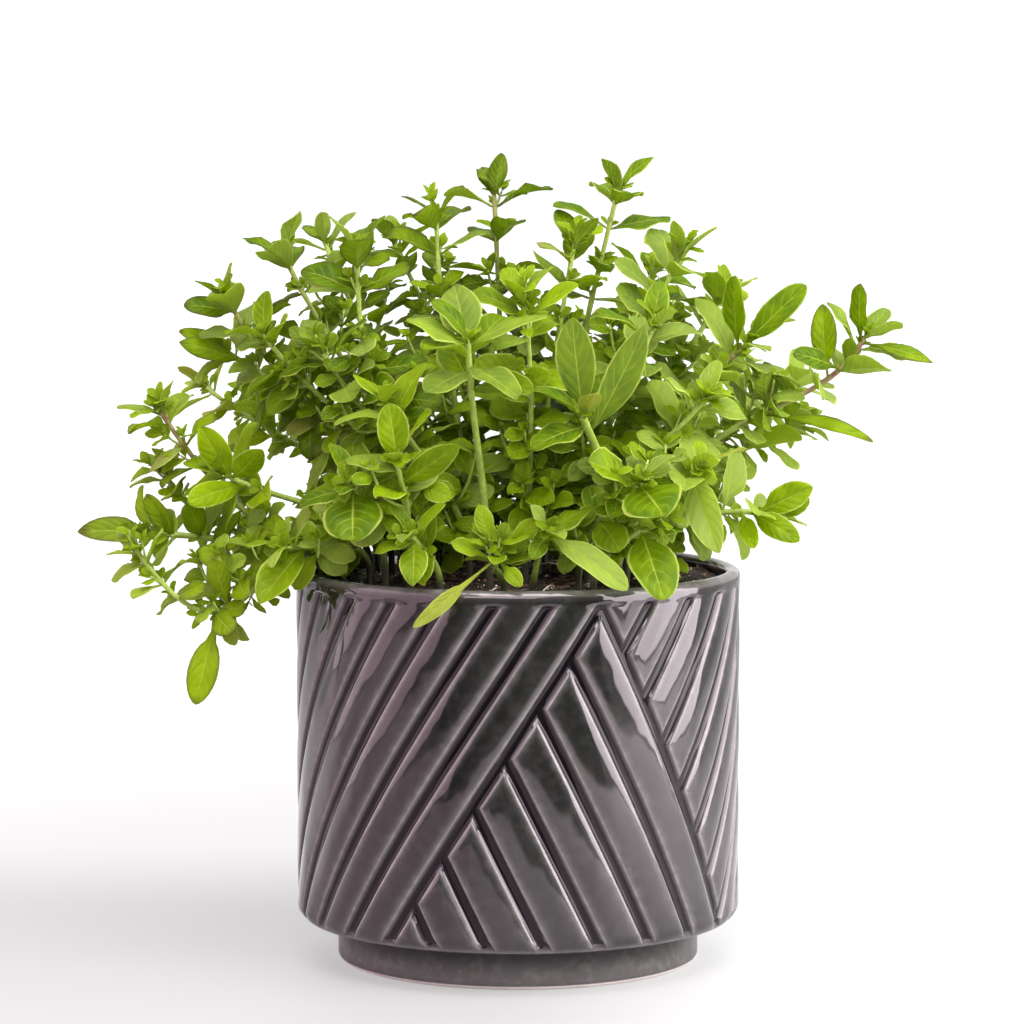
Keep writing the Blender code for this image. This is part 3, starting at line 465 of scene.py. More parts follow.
def path_length(path):
    """Length of a shoot above the soil."""
    return sum((b - a).length for a, b in zip(path[1:], path[2:]))


def soil_top(x, y):
    """Height of the soil: mounded to the middle, with small lumps."""
    mound = SOIL_CROWN - SOIL_SAG * (x * x + y * y) / (POT_RADIUS - POT_WALL) ** 2
    lumps = math.sin(0.33 * x + 1.0) * math.cos(0.29 * y) + 0.6 * math.sin(0.61 * y + 0.23 * x)
    return mound + SOIL_BUMP * lumps / 1.6


def shoot_handles(shoot, sway):
    """The four points that steer a shoot's curve."""
    root_x, root_y, tip_x, tip_y, tip_z, lean = shoot[1:7]
    start = Vector((root_x, root_y, soil_top(root_x, root_y) + STRAIGHT_RISE))
    tip = Vector((tip_x, tip_y, tip_z))
    outward = Vector((tip_x - root_x, tip_y - root_y, 0.0)).normalized()
    level = math.radians(lean)
    heading = outward * math.cos(level) + UP * math.sin(level)
    reach = (tip - start).length
    handle_1 = start + UP * reach * ROOT_HANDLE
    handle_2 = tip - heading * reach * TIP_HANDLE
    if shoot[0] in STEERED:
        handle_1, handle_2 = (Vector(point) for point in STEERED[shoot[0]])
    return start, handle_1 + Vector((sway[0], sway[1], 0.0)) / 2, handle_2 + Vector(sway), tip


def shoot_path(shoot, sway, steps=STEM_STEPS):
    """Points along a shoot: up out of its hole, then one smooth curve to its tip."""
    root_x, root_y = shoot[1:3]
    handles = shoot_handles(shoot, sway)
    bottom = soil_top(root_x, root_y) - HOLE_DEPTH + HOLE_GAP
    return [Vector((root_x, root_y, bottom)), handles[0],
            *(bezier(handles, step / steps) for step in range(1, steps + 1))]


def square_tube(path, swell=0.0):
    """Points and faces of a square stem that thins towards its tip."""
    points, faces = [], []
    side, last = Vector((1.0, 0.0, 0.0)), len(path) - 1
    for index, place in enumerate(path):
        ahead = (path[min(index + 1, last)] - path[max(index - 1, 0)]).normalized()
        side = square_to(ahead, side)
        other = ahead.cross(side)
        share = max(0.0, (index - 1) / (last - 1))
        half = (STEM_ROOT_WIDTH + (STEM_TIP_WIDTH - STEM_ROOT_WIDTH) * share) / 2 + swell
        points += [place + side * half * a + other * half * b
                   for a, b in ((1, 1), (-1, 1), (-1, -1), (1, -1))]
    for index in range(last):
        for corner in range(4):
            a, b = 4 * index + corner, 4 * index + (corner + 1) % 4
            faces.append((a, b, b + 4, a + 4))
    end = 4 * last
    faces += [(3, 2, 1, 0), (end, end + 1, end + 2, end + 3)]
    return points, faces


def point_along(path, share):
    """Place and heading at a share of the shoot above the soil."""
    lengths = [(b - a).length for a, b in zip(path[1:], path[2:])]
    left = share * sum(lengths)
    for index, length in enumerate(lengths):
        if left <= length or index == len(lengths) - 1:
            first, second = path[index + 1], path[index + 2]
            return first.lerp(second, left / length), (second - first).normalized()
        left -= length
    return path[-1], UP


def leaf_rows(leaf):
    """Rows across a leaf: how far along, half its width there, and if it is folded at the rib."""
    folded = leaf.length >= FOLDED_FROM
    wide = [(share, leaf.width * half, folded) for share, half in LEAF_ROWS]
    return [(0.0, 0.0, False), *wide, (1.0, 0.0, False)]


def blade(leaf, swell=0.0, outer=False):
    """Points and faces of a thin closed leaf, pointed at both ends and bent down to its tip."""
    side = leaf.face.cross(leaf.aim).normalized()
    fold = math.radians(LEAF_FOLD)
    rows = leaf_rows(leaf)[1 if outer else 0:]
    half_thick = BLADE_THICKNESS / 2 + swell
    tops, unders, numbers = [], [], []
    for share, half, folded in rows:
        turn = leaf.droop * share
        place = leaf.base + leaf.length / leaf.droop * (
            leaf.aim * math.sin(turn) - leaf.face * (1.0 - math.cos(turn)))
        turn = leaf.droop * max(share, LEAF_ROWS[0][0])
        normal = leaf.face * math.cos(turn) + leaf.aim * math.sin(turn)
        ahead = leaf.aim * math.cos(turn) - leaf.face * math.sin(turn)
        spread = side * (half + swell) * math.cos(fold)
        lift = normal * (half + swell) * math.sin(fold) if folded else Vector()
        if half == 0.0:
            row = [place + ahead * (swell if share else -swell)]
        elif folded:
            row = [place + spread + lift, place, place - spread + lift]
        else:
            row = [place + spread, place - spread]
        numbers.append(list(range(len(tops), len(tops) + len(row))))
        tops += [point + normal * half_thick for point in row]
        unders += [point - normal * half_thick for point in row]
    skin = []
    for first, second in zip(numbers, numbers[1:]):
        if len(first) == 1:
            skin += [(first[0], b, a) for a, b in zip(second, second[1:])]
        elif len(second) == 1:
            skin += [(b, second[0], a) for a, b in zip(first, first[1:])]
        elif len(first) == 2:
            skin.append((first[1], second[1], second[0], first[0]))
        else:
            for a, b, c, d in zip(first, first[1:], second, second[1:]):
                skin += [(b, d, a), (d, c, a)]
    rim = [row[-1] for row in numbers] + [row[0] for row in reversed(numbers) if len(row) > 1]
    rim += numbers[0][1:-1]
    under = len(tops)
    faces = skin + [tuple(under + corner for corner in reversed(face)) for face in skin]
    faces += [(a + under, b + under, b, a) for a, b in zip(rim, rim[1:] + rim[:1])]
    return tops + unders, faces


def as_solid(owner, points, faces):
    """A shape ready for the clearance test."""
    low = [min(point[axis] for point in points) for axis in range(3)]
    high = [max(point[axis] for point in points) for axis in range(3)]
    return Solid(owner, BVHTree.FromPolygons(points, faces), low, high)


def touches(solid, others):
    """If a shape meets any of the others."""
    for other in others:
        apart = any(solid.low[axis] > other.high[axis] or other.low[axis] > solid.high[axis]
                    for axis in range(3))
        if not apart and solid.tree.overlap(other.tree):
            return True
    return False


def place_paths(fixed):
    """Every shoot's sway and path, swayed until it is clear of the shoots before it."""
    draw = random.Random(SEED)
    sways, paths, stems = {}, {}, []
    for shoot in SHOOTS:
        for attempt in range(SWAY_TRIES):
            size = SWAY + SWAY_GROWTH * attempt
            sway = [draw.uniform(-size, size) for _ in range(3)]
            path = shoot_path(shoot, sway)
            thick = as_solid(shoot[0], *square_tube(path, STEM_CLEARANCE))
            clear_of_soil = [path[1] + UP * STRAIGHT_RISE, *path[2:]]
            above = as_solid(shoot[0], *square_tube(clear_of_soil, STEM_CLEARANCE))
            if not touches(thick, stems) and not touches(above, fixed):
                break
        sways[shoot[0]] = sway
        paths[shoot[0]] = path
        stems.append(as_solid(shoot[0], *square_tube(path)))
    return sways, paths, stems


def turned_leaf(leaf, sideways, up, scale):
    """The leaf turned about its base and shrunk."""
    side = leaf.face.cross(leaf.aim).normalized()
    turn = (Matrix.Rotation(math.radians(sideways), 3, leaf.face)
            @ Matrix.Rotation(math.radians(-up), 3, side))
    return leaf._replace(aim=(turn @ leaf.aim).normalized(), face=(turn @ leaf.face).normalized(),
                         length=leaf.length * scale, width=leaf.width * scale)


def pair_of_leaves(shoot, path, rank, draw):
    """The two leaves of one pair, counted from the tip, each pair a quarter turn from the last."""
    full, height = shoot[7], path_length(path)
    below_tip = PAIR_DROP[rank] * full / FULL_LEAF * draw.uniform(1 - SIZE_JITTER, 1 + SIZE_JITTER)
    place, ahead = point_along(path, clamp(1.0 - below_tip / height))
    spread = math.radians(PAIR_SPREAD[rank] + draw.uniform(-SPREAD_JITTER, SPREAD_JITTER))
    around = math.radians(90.0 * rank + draw.uniform(-TURN_JITTER, TURN_JITTER) + shoot[9])
    outward = Vector((place.x, place.y, 0.0)).normalized()
    tilt = (outward * FACE_OUT + LIGHT_SIDE * FACE_LIGHT) * clamp(rank / 2)
    leaves = []
    for out in opposite_sides(ahead, around):
        aim = ahead * math.cos(spread) + out * math.sin(spread) + UP * (LEAF_RISE - RISE_LOSS * rank)
        aim.normalize()
        face = square_to(aim, ahead * FACE_AHEAD + UP * FACE_UP + tilt)
        length = full * PAIR_GROWTH[rank] * draw.uniform(1 - SIZE_JITTER, 1 + SIZE_JITTER)
        shape = LEAF_SHAPE if rank else TIP_LEAF_SHAPE
        width = length * shape * draw.uniform(1 - SIZE_JITTER, 1 + SIZE_JITTER)
        droop = math.radians(draw.uniform(*LEAF_DROOP))
        leaves.append(Leaf(shoot[0], place, aim, face, length, width, droop))
    return leaves


def chosen_leaf(row, paths):
    """One of the leaves that stand out, from its row."""
    name, share, tip_x, tip_y, tip_z, width, look = row
    base = point_along(paths[name], share)[0]
    chord = Vector((tip_x, tip_y, tip_z)) - base
    droop = math.radians(CHOSEN_DROOP)
    aim = chord.normalized()
    face = square_to(aim, Vector(look))
    lift = Matrix.Rotation(-droop / 2, 3, face.cross(aim).normalized())
    return Leaf(name, base, lift @ aim, lift @ face, chord.length * 1.01, width, droop)


def settle(leaf, placed, solids):
    """Keeps the leaf, turned or shrunk if need be, if it stays clear of everything else."""
    for sideways, up, scale in LEAF_TRIES:
        trial = turned_leaf(leaf, sideways, up, scale)
        whole = as_solid(leaf.shoot, *blade(trial, BLADE_CLEARANCE))
        outer = as_solid(leaf.shoot, *blade(trial, BLADE_CLEARANCE, outer=True))
        others = [solid for solid in solids if solid.owner != leaf.shoot]
        own = [solid for solid in solids if solid.owner == leaf.shoot]
        if not touches(whole, others) and not touches(outer, own):
            placed.append(trial)
            solids.append(as_solid(leaf.shoot, *blade(trial)))
            return


def place_leaves(paths, stems, fixed):
    """Every leaf that keeps clear of the pot, the soil, the stems and the other leaves."""
    draw = random.Random(SEED + 1)
    chosen, placed, solids = [], [], list(fixed) + stems
    for row in CHOSEN_LEAVES:
        settle(chosen_leaf(row, paths), chosen, solids)
    for rank in range(max(shoot[8] for shoot in SHOOTS)):
        for shoot in SHOOTS:
            if rank < shoot[8]:
                for leaf in pair_of_leaves(shoot, paths[shoot[0]], rank, draw):
                    settle(leaf, placed, solids)
    return chosen, placed, solids


def mesh_solid(thing):
    """An object's mesh, in millimetres, ready for the clearance test."""
    points = [vertex.co / MM for vertex in thing.data.vertices]
    return as_solid(thing.name, points, [tuple(face.vertices) for face in thing.data.polygons])


# Fine shapes

def smooth(value):
    """A soft step from 0 to 1, for arrays."""
    value = np.clip(value, 0.0, 1.0)
    return value * value * (3.0 - 2.0 * value)


def ridge(value, strength, middle, width):
    """A smooth ridge over the values near a middle, for arrays."""
    return strength * np.exp(-((value - middle) / width) ** 2)


def rise_from(value, strength, start, width):
    """A soft rise over the values from a start, for arrays."""
    return strength * smooth((value - start) / width)


def leaf_faces(rows, columns):
    """The faces of a leaf's upper and under skin, which share the points of its edge."""
    top = np.arange(rows * columns).reshape(rows, columns)
    under = top.copy()
    inside = (rows - 2) * (columns - 2)
    under[1:-1, 1:-1] = rows * columns + np.arange(inside).reshape(rows - 2, columns - 2)

    def quads(grid):
        return np.stack([grid[:-1, :-1], grid[:-1, 1:], grid[1:, 1:], grid[1:, :-1]], -1).reshape(-1, 4)

    return np.concatenate([quads(top)[:, ::-1], quads(under)])


LEAF_GRIDS = {}


def fine_leaf(leaf, draw, look, grade, stalk_share=None):
    """The skin of one leaf with its stalk, midrib, folded and waved blade."""
    rows, columns, thickness = LEAF_GRADES[grade]
    columns = np.array(columns)[None, :]
    petiole = stalk_share or draw.uniform(*PETIOLE_SHARE)
    along = np.array([0.0, petiole * 0.55, *(petiole + (1.0 - petiole) * row for row in rows)])[:, None]
    key = (len(along), columns.shape[1])
    if key not in LEAF_GRIDS:
        LEAF_GRIDS[key] = leaf_faces(*key)
    faces = LEAF_GRIDS[key]
    share = np.clip((along - petiole) / (1.0 - petiole), 0.0, 1.0)
    broad, blunt = draw.uniform(*OUTLINE_BASE), draw.uniform(*OUTLINE_TIP)
    peak = broad / (broad + blunt)
    outline = share ** broad * (1.0 - share) ** blunt / (peak ** broad * (1.0 - peak) ** blunt)
    stalk = PETIOLE_WIDTH * min(1.0, leaf.length / 13.0) * (1.0 - 0.25 * along)
    half = np.maximum(leaf.width / 2 * outline, stalk / 2 * (1.0 - share) ** 2 + 0.02)
    fold_angle = math.radians(draw.uniform(*BLADE_FOLD))
    edge = np.abs(columns)
    open_share = smooth(share / 0.25)
    lift = half * open_share * (edge * math.sin(fold_angle)
                                - draw.uniform(*EDGE_CURL) * edge ** 2.5)
    waves = draw.uniform(*WAVE_DEPTH) * leaf.width * edge ** 2 * open_share
    lift = lift + waves * np.sin(share * draw.uniform(*WAVE_COUNT) + np.sign(columns) * 1.3
                                 + draw.uniform(0.0, 6.3))
    across = half * columns * math.cos(fold_angle)
    turn = leaf.droop * along
    twist = math.radians(draw.uniform(*BLADE_TWIST)) * along
    aim, face = np.array(leaf.aim), np.array(leaf.face)
    side = np.cross(face, aim)
    side /= np.linalg.norm(side)
    spine = (np.array(leaf.base)
             + leaf.length / leaf.droop * (np.sin(turn) * aim - (1.0 - np.cos(turn)) * face))
    upright = np.cos(turn) * face + np.sin(turn) * aim
    normal = np.cos(twist) * upright + np.sin(twist) * side
    sideways = np.cos(twist) * side - np.sin(twist) * upright
    skin = (spine[:, None, :] + across[..., None] * sideways[:, None, :]
            + lift[..., None] * normal[:, None, :])
    thick = (stalk / 2 * (1.0 - open_share) + thickness / 2 * open_share) * np.sqrt(1.0 - edge ** 2)
    rib = ridge(columns, 1.0, 0.0, RIB_WIDTH) * open_share * (1.0 - share)
    upper = skin + (thick - RIB_HOLLOW * rib)[..., None] * normal[:, None, :]
    lower = skin - (thick + RIB_RIDGE * rib)[..., None] * normal[:, None, :]
    points = np.concatenate([upper.reshape(-1, 3), lower[1:-1, 1:-1].reshape(-1, 3)])
    place = np.stack(np.broadcast_arrays(columns / 2 + 0.5, share), -1)
    uv = np.concatenate([place.reshape(-1, 2), place[1:-1, 1:-1].reshape(-1, 2)])
    kind = np.repeat([1, 2], len(faces) // 2)
    return Skin(points, faces, uv, np.tile(look, (len(points), 1)), kind)


def round_tube(path, widths, look, sides=STEM_SIDES, squareness=0.1):
    """The skin of a stem: a tube with softly squared corners, closed at both ends."""
    path = np.array([tuple(place) for place in path])
    ahead = np.gradient(path, axis=0)
    ahead /= np.linalg.norm(ahead, axis=1)[:, None]
    angles = np.arange(sides) * 2.0 * math.pi / sides + math.pi / 4
    radii = 1.0 + squareness * np.cos(4.0 * (angles - math.pi / 4))
    side, rings = np.array([1.0, 0.0, 0.0]), []
    for place, forward, width in zip(path, ahead, widths):
        side = side - forward * side.dot(forward)
        side /= np.linalg.norm(side)
        other = np.cross(forward, side)
        rings.append(place + (np.cos(angles) * radii)[:, None] * side * width / 2
                     + (np.sin(angles) * radii)[:, None] * other * width / 2)
    points = np.concatenate([*rings, path[:1], path[-1:]])
    faces, last = [], len(path) - 1
    for ring in range(last):
        a = ring * sides + np.arange(sides)
        b = ring * sides + (np.arange(sides) + 1) % sides
        faces.append(np.stack([a, b, b + sides, a + sides], -1))
    base, end = len(path) * sides, len(path) * sides + 1
    around = np.arange(0, sides, 2)
    faces.append(np.stack([np.full(len(around), base), (around + 2) % sides, around + 1, around], -1))
    around = around + last * sides
    following = (around + 2 - last * sides) % sides + last * sides
    faces.append(np.stack([np.full(len(around), end), around, around + 1, following], -1))
    faces = np.concatenate(faces)
    uv = np.zeros((len(points), 2))
    uv[:, 1] = np.concatenate([np.repeat(np.linspace(0, 1, len(path)), sides), [0.0, 1.0]])
    look = np.asarray(look, float)
    if look.ndim == 2:
        look = np.concatenate([np.repeat(look, sides, axis=0), look[:1], look[-1:]])
    else:
        look = np.tile(look, (len(points), 1))
    return Skin(points, faces, uv, look, np.zeros(len(faces), int))


def spikes(places, outs, lengths, width, look):
    """Fine hairs: thin three-sided spikes."""
    places, outs = np.array(places), np.array(outs)
    lengths = np.array(lengths)[:, None]
    side = np.cross(outs, [0.31, 0.52, 0.8])
    side /= np.linalg.norm(side, axis=1)[:, None]
    other = np.cross(outs, side)
    corners = [places + (side * math.cos(turn) + other * math.sin(turn)) * width / 2
               for turn in (0.0, 2.094, 4.189)]
    tips = places + outs * lengths
    points = np.stack([*corners, tips], 1).reshape(-1, 3)
    start = np.arange(len(places))[:, None] * 4
    faces = np.concatenate([start + np.array(face) for face in
                            ((0, 1, 3), (1, 2, 3), (2, 0, 3), (2, 1, 0))])
    return plain_skin(points, faces, look)


def plain_skin(points, faces, look):
    """A skin in one look, with no leaf map."""
    return Skin(points, faces, np.zeros((len(points), 2)), np.tile(look, (len(points), 1)),
                np.zeros(len(faces), int))


def add_object(name, data):
    """A new object in the scene."""
    thing = bpy.data.objects.new(name, data)
    bpy.context.scene.collection.objects.link(thing)
    return thing


def add_mesh(name, points, faces, materials):
    """A new smooth mesh object in the scene."""
    mesh = bpy.data.meshes.new(name)
    mesh.from_pydata(points, [], faces)
    for material in materials:
        mesh.materials.append(material)
    mesh.shade_smooth()
    return add_object(name, mesh)


def keep_values(mesh, name, values):
    """Three values kept at each point of a mesh."""
    mesh.attributes.new(name, "FLOAT_VECTOR", "POINT").data.foreach_set(
        "vector", values.astype(np.float32).ravel())


def make_piece(name, skins, materials, sharp=None):
    """One mesh object from skins in millimetres, with its leaf map and look attribute."""
    points = np.concatenate([skin.points for skin in skins]) * MM
    starts = np.cumsum([0, *(len(skin.points) for skin in skins)])
    faces, kinds = [], []
    for skin, start in zip(skins, starts):
        faces += (skin.faces + start).tolist()
        kinds.append(skin.kind)
    thing = add_mesh(name, points, faces, materials)
    mesh = thing.data
    mesh.polygons.foreach_set("material_index", np.concatenate(kinds).astype(np.int32))
    uv = np.concatenate([skin.leaf_uv for skin in skins])
    corners = np.empty(len(mesh.loops), np.int32)
    mesh.loops.foreach_get("vertex_index", corners)
    leaf_map = mesh.uv_layers.new(name="leaf map")
    leaf_map.uv.foreach_set("vector", uv[corners].astype(np.float32).ravel())
    keep_values(mesh, "look", np.concatenate([skin.look for skin in skins]))
    if sharp is not None:
        mesh.set_sharp_from_angle(angle=math.radians(sharp))
    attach(thing, "root")
    return thing


# Pot

def inside_profile(gap):
    """Radius and height inside the pot, from the floor's centre up, a gap clear of the wall."""
    inner = POT_RADIUS - POT_WALL - gap
    ledge = FOOT_HEIGHT + STEP_THICKNESS + gap
    narrow = FOOT_RADIUS - FOOT_WALL - gap
    across, up = INNER_CHAMFER
    return [(0.0, FLOOR_THICKNESS + gap), (narrow, FLOOR_THICKNESS + gap), (narrow, ledge),
            (inner - across, ledge), (inner, ledge + up)]


def quarter_round(centre, radius, first, last, steps):
    """Points on an arc, angles in degrees."""
    return [(centre[0] + radius * math.cos(math.radians(first + (last - first) * step / steps)),
             centre[1] + radius * math.sin(math.radians(first + (last - first) * step / steps)))
            for step in range(steps + 1)]


def pot_profile():
    """Radius and height from the underside's centre, up the outside, to the floor inside."""
    half_wall = POT_WALL / 2
    points = [(0.0, 0.0), (FOOT_RADIUS - 8.0, 0.0)]
    points += quarter_round((FOOT_RADIUS - FOOT_ROUND, FOOT_ROUND), FOOT_ROUND, -90, 0, 5)
    straight = FOOT_ROUND + 0.7
    points += [(FOOT_RADIUS + FOOT_FLARE * (step / 6) ** 3,
                straight + (FOOT_HEIGHT - FOOT_BEVEL - straight) * step / 6) for step in range(7)]
    points += [(FOOT_RADIUS + 0.75, FOOT_HEIGHT - 0.3), (FOOT_RADIUS + FOOT_BEVEL, FOOT_HEIGHT)]
    points += quarter_round((POT_RADIUS - CORNER_RADIUS, FOOT_HEIGHT + CORNER_RADIUS),
                            CORNER_RADIUS, -90, 0, ROUND_STEPS)
    points += [(POT_RADIUS, 30.0), (POT_RADIUS, POT_HEIGHT - LIP_RADIUS - 2.5)]
    middle, rise = POT_RADIUS - half_wall, POT_HEIGHT - LIP_RADIUS
    points += [(middle + half_wall * math.cos(math.pi * step / ROUND_STEPS),
                rise + LIP_RADIUS * math.sin(math.pi * step / ROUND_STEPS))
               for step in range(ROUND_STEPS + 1)]
    return points + list(reversed(inside_profile(0.0)))


def profile_stations(points):
    """How far along the profile each point is, counted so that the wall reads its height."""
    along = [0.0]
    for first, second in zip(points, points[1:]):
        along.append(along[-1] + math.dist(first, second))
    wall_foot = points.index(next(point for point in points if point[0] > POT_RADIUS - 0.001))
    shift = points[wall_foot][1] - along[wall_foot]
    return [length + shift for length in along]


def slanting_bands():
    """Each raised band as half planes (across, up, offset) on the unrolled wall."""
    turn = 2.0 * math.pi * POT_RADIUS
    per_degree = turn / 360.0
    lines = []
    for degrees, height, slope in (RISING_LINE, FALLING_LINE):
        steep = math.hypot(1.0, slope * per_degree)
        across, up = 1.0 / steep, -slope * per_degree / steep
        lines.append((across, up, across * degrees * per_degree + up * height))
    (across_1, up_1, offset_1), (across_2, up_2, offset_2) = lines
    period = turn / REPEATS
    rising_pitch = across_1 * period / RISING_BANDS
    gap_at_foot = (FALLING_LINE[0] - RISING_LINE[0]) * per_degree
    falling_pitch = across_2 * gap_at_foot / FALLING_BANDS
    bands = []
    for repeat in range(-REPEATS, REPEATS + 1):
        rising = offset_1 + across_1 * period * repeat
        falling = offset_2 + across_2 * period * repeat
        next_rising = rising + across_1 * period
        for band in range(RISING_BANDS):
            right = next_rising - band * rising_pitch
            bands.append([(-across_1, -up_1, -right), (across_1, up_1, right - rising_pitch),
                          (across_2, up_2, falling)])
        for band in range(FALLING_BANDS):
            right = falling - band * falling_pitch
            bands.append([(-across_2, -up_2, -right), (across_2, up_2, right - falling_pitch),
                          (across_1, up_1, rising)])
    return bands


def clip_outline(outline, half_plane, inset=0.0):
    """The part of a convex outline that lies inside a half plane."""
    across, up, offset = half_plane
    kept = []
    for first, second in zip(outline, outline[1:] + outline[:1]):
        depth_1 = across * first[0] + up * first[1] - offset - inset
        depth_2 = across * second[0] + up * second[1] - offset - inset
        if depth_1 >= 0.0:
            kept.append(first)
        if depth_1 * depth_2 < 0.0:
            share = depth_1 / (depth_1 - depth_2)
            kept.append((first[0] + (second[0] - first[0]) * share,
                         first[1] + (second[1] - first[1]) * share))
    return kept


def bands_foot():
    """Where the grooves reach their full depth on the bottom corner, and the length of one step."""
    corner_step = CORNER_RADIUS * math.pi / 2 / CAD_CORNER_STEPS
    return FOOT_HEIGHT + CORNER_RADIUS - corner_step, corner_step


def unrolled_sheet(stations, bands):
    """Points and triangles of the unrolled pot, with the bands' edges drawn in."""
    half_turn = math.pi * POT_RADIUS
    low, high = stations[0], stations[-1]
    points, edges = [], []

    def draw(outline, closed):
        start = len(points)
        points.extend(Vector(point) for point in outline)
        last = len(points) - 1
        edges.extend((index, index + 1) for index in range(start, last))
        if closed:
            edges.append((last, start))

    for side in range(POT_SIDES + 1):
        across = half_turn * (2.0 * side / POT_SIDES - 1.0)
        draw([(across, low), (across, high)], False)
    bottom, top = bands_foot()[0], BANDS_TOP
    for level in (*stations, top, top - BANDS_FADE, top - BANDS_FADE / 2, bottom):
        draw([(-half_turn, level), (half_turn, level)], False)
    field = [(-half_turn, bottom - 4.0), (half_turn, bottom - 4.0), (half_turn, top), (-half_turn, top)]
    for band in bands:
        for inset, _ in GROOVE_SECTION[:-1]:
            outline = field
            for half_plane in band:
                outline = clip_outline(outline, half_plane, inset)
            if len(outline) > 2:
                draw(outline, True)
    found = geometry.delaunay_2d_cdt(points, edges, [], 0, 0.001)
    return np.array([tuple(point) for point in found[0]]), found[2]


def build_pot(materials):
    """The pot: its unrolled sheet, with sunk grooves, wrapped round the axis."""
    profile = np.array(pot_profile())
    stations = np.array(profile_stations(pot_profile()))
    bands = slanting_bands()
    corner = np.array([POT_RADIUS - CORNER_RADIUS, FOOT_HEIGHT + CORNER_RADIUS])
    full_from, corner_step = bands_foot()
    section_at, section_left = zip(*GROOVE_SECTION)

    def groove_middle(across, up):
        away = np.zeros_like(across)
        for band in bands:
            inside = np.min([a * across + u * up - offset for a, u, offset in band], axis=0)
            away = np.maximum(away, inside)
        return away

    def wrap(across, up):
        place = np.stack([np.interp(up, stations, profile[:, 0]),
                          np.interp(up, stations, profile[:, 1])], -1)
        away = groove_middle(across, up)
        fade = (smooth((up - full_from) / corner_step + 1.0)
                * smooth((BANDS_TOP - up) / BANDS_FADE))
        depth = GROOVE_DEPTH * np.interp(away, section_at, section_left) * fade
        inward = corner - place
        inward[:, 1] = np.maximum(0.0, inward[:, 1])
        inward /= np.maximum(1e-6, np.linalg.norm(inward, axis=1))[:, None]
        on_wall = (up > FOOT_HEIGHT - 1.0) & (up < BANDS_TOP)
        place = place + inward * (depth * on_wall)[:, None]
        angle = across / POT_RADIUS
        wrapped = np.stack([place[:, 0] * np.sin(angle), -place[:, 0] * np.cos(angle),
                            place[:, 1]], -1)
        return wrapped, away, fade * on_wall

    sheet, faces = unrolled_sheet(stations.tolist(), bands)
    across, up = sheet[:, 0], sheet[:, 1]
    points, away, fade = wrap(across, up)
    reach = SLOPE_REACH
    along = wrap(across + reach, up)[0] - wrap(across - reach, up)[0]
    rise = wrap(across, np.minimum(up + reach, stations[-1]))[0]
    rise = rise - wrap(across, np.maximum(up - reach, stations[0]))[0]
    angle = across / POT_RADIUS
    around = np.stack([np.cos(angle), np.sin(angle), np.zeros_like(angle)], -1)
    centre = np.hypot(points[:, 0], points[:, 1]) < 1.0
    along[centre] = around[centre]
    normals = np.cross(along, rise)
    normals /= np.maximum(1e-9, np.linalg.norm(normals, axis=1))[:, None]
    height, radius = points[:, 2], np.hypot(points[:, 0], points[:, 1])
    on_foot = (height < FOOT_HEIGHT - 0.1) & (radius > FOOT_RADIUS - 3.0)
    pooled = np.maximum((1.0 - rise_from(away, 1.0, *POOL_EDGE)) * fade,
                        ridge(height, *POOL_RING) * (radius > FOOT_RADIUS - 1.0))
    # Wear on the edges, corner and lip, with a painted highlight on the bands' edges and the lip, and
    # painted light paler towards the foot's bottom
    wear_and_highlight = np.max([sum(ridge(away, *wear) for wear in BAND_WEAR_AND_HIGHLIGHT) * fade,
                   ridge(height, *CORNER_WEAR) * (radius > POT_RADIUS - 4.0),
                   rise_from(height, *LIP_WEAR_AND_HIGHLIGHT),
                   (FOOT_PAINTED_LIGHT[0] - rise_from(height, *FOOT_PAINTED_LIGHT)) * on_foot], axis=0)
    glaze = np.stack([pooled, wear_and_highlight, 1.0 - rise_from(height, 1.0, *BARE_RING)], -1)
    _, kept, renumber = np.unique(np.round(points, 3), axis=0, return_index=True, return_inverse=True)
    renumber = renumber.ravel()
    merged = [[int(renumber[corner_number]) for corner_number in face] for face in faces]
    merged = [face for face in merged if len(set(face)) == len(face)]
    pot = add_mesh("pot_glazed", points[kept] * MM, merged, materials)
    mesh = pot.data
    keep_values(mesh, "glaze", glaze[kept])
    # Faces in the grooves and on the foot take the less shiny glaze, as painted shade on their
    # reflections
    sunk = ((away[kept] < POOL_WIDTH + 0.01) & (fade[kept] > 0.6)) | on_foot[kept]
    mesh.polygons.foreach_set("material_index",
                              np.array([int(sunk[face].all()) for face in merged], np.int32))
    mesh.normals_split_custom_set_from_vertices(normals[kept])
    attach(pot, "root")
    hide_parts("pot")


# Soil

def fine_soil(x, y):
    """Height of the soil with its crumbs."""
    place = Vector((x, y, 0.0))
    lumps = (noise.fractal(place * 0.16, 1.0, 2.0, 3) * 0.9
             + noise.fractal(place * 0.55, 1.0, 2.1, 3) * 0.75)
    return soil_top(x, y) + lumps + SOIL_HEAP * clamp((x - 24.0) / 26.0)


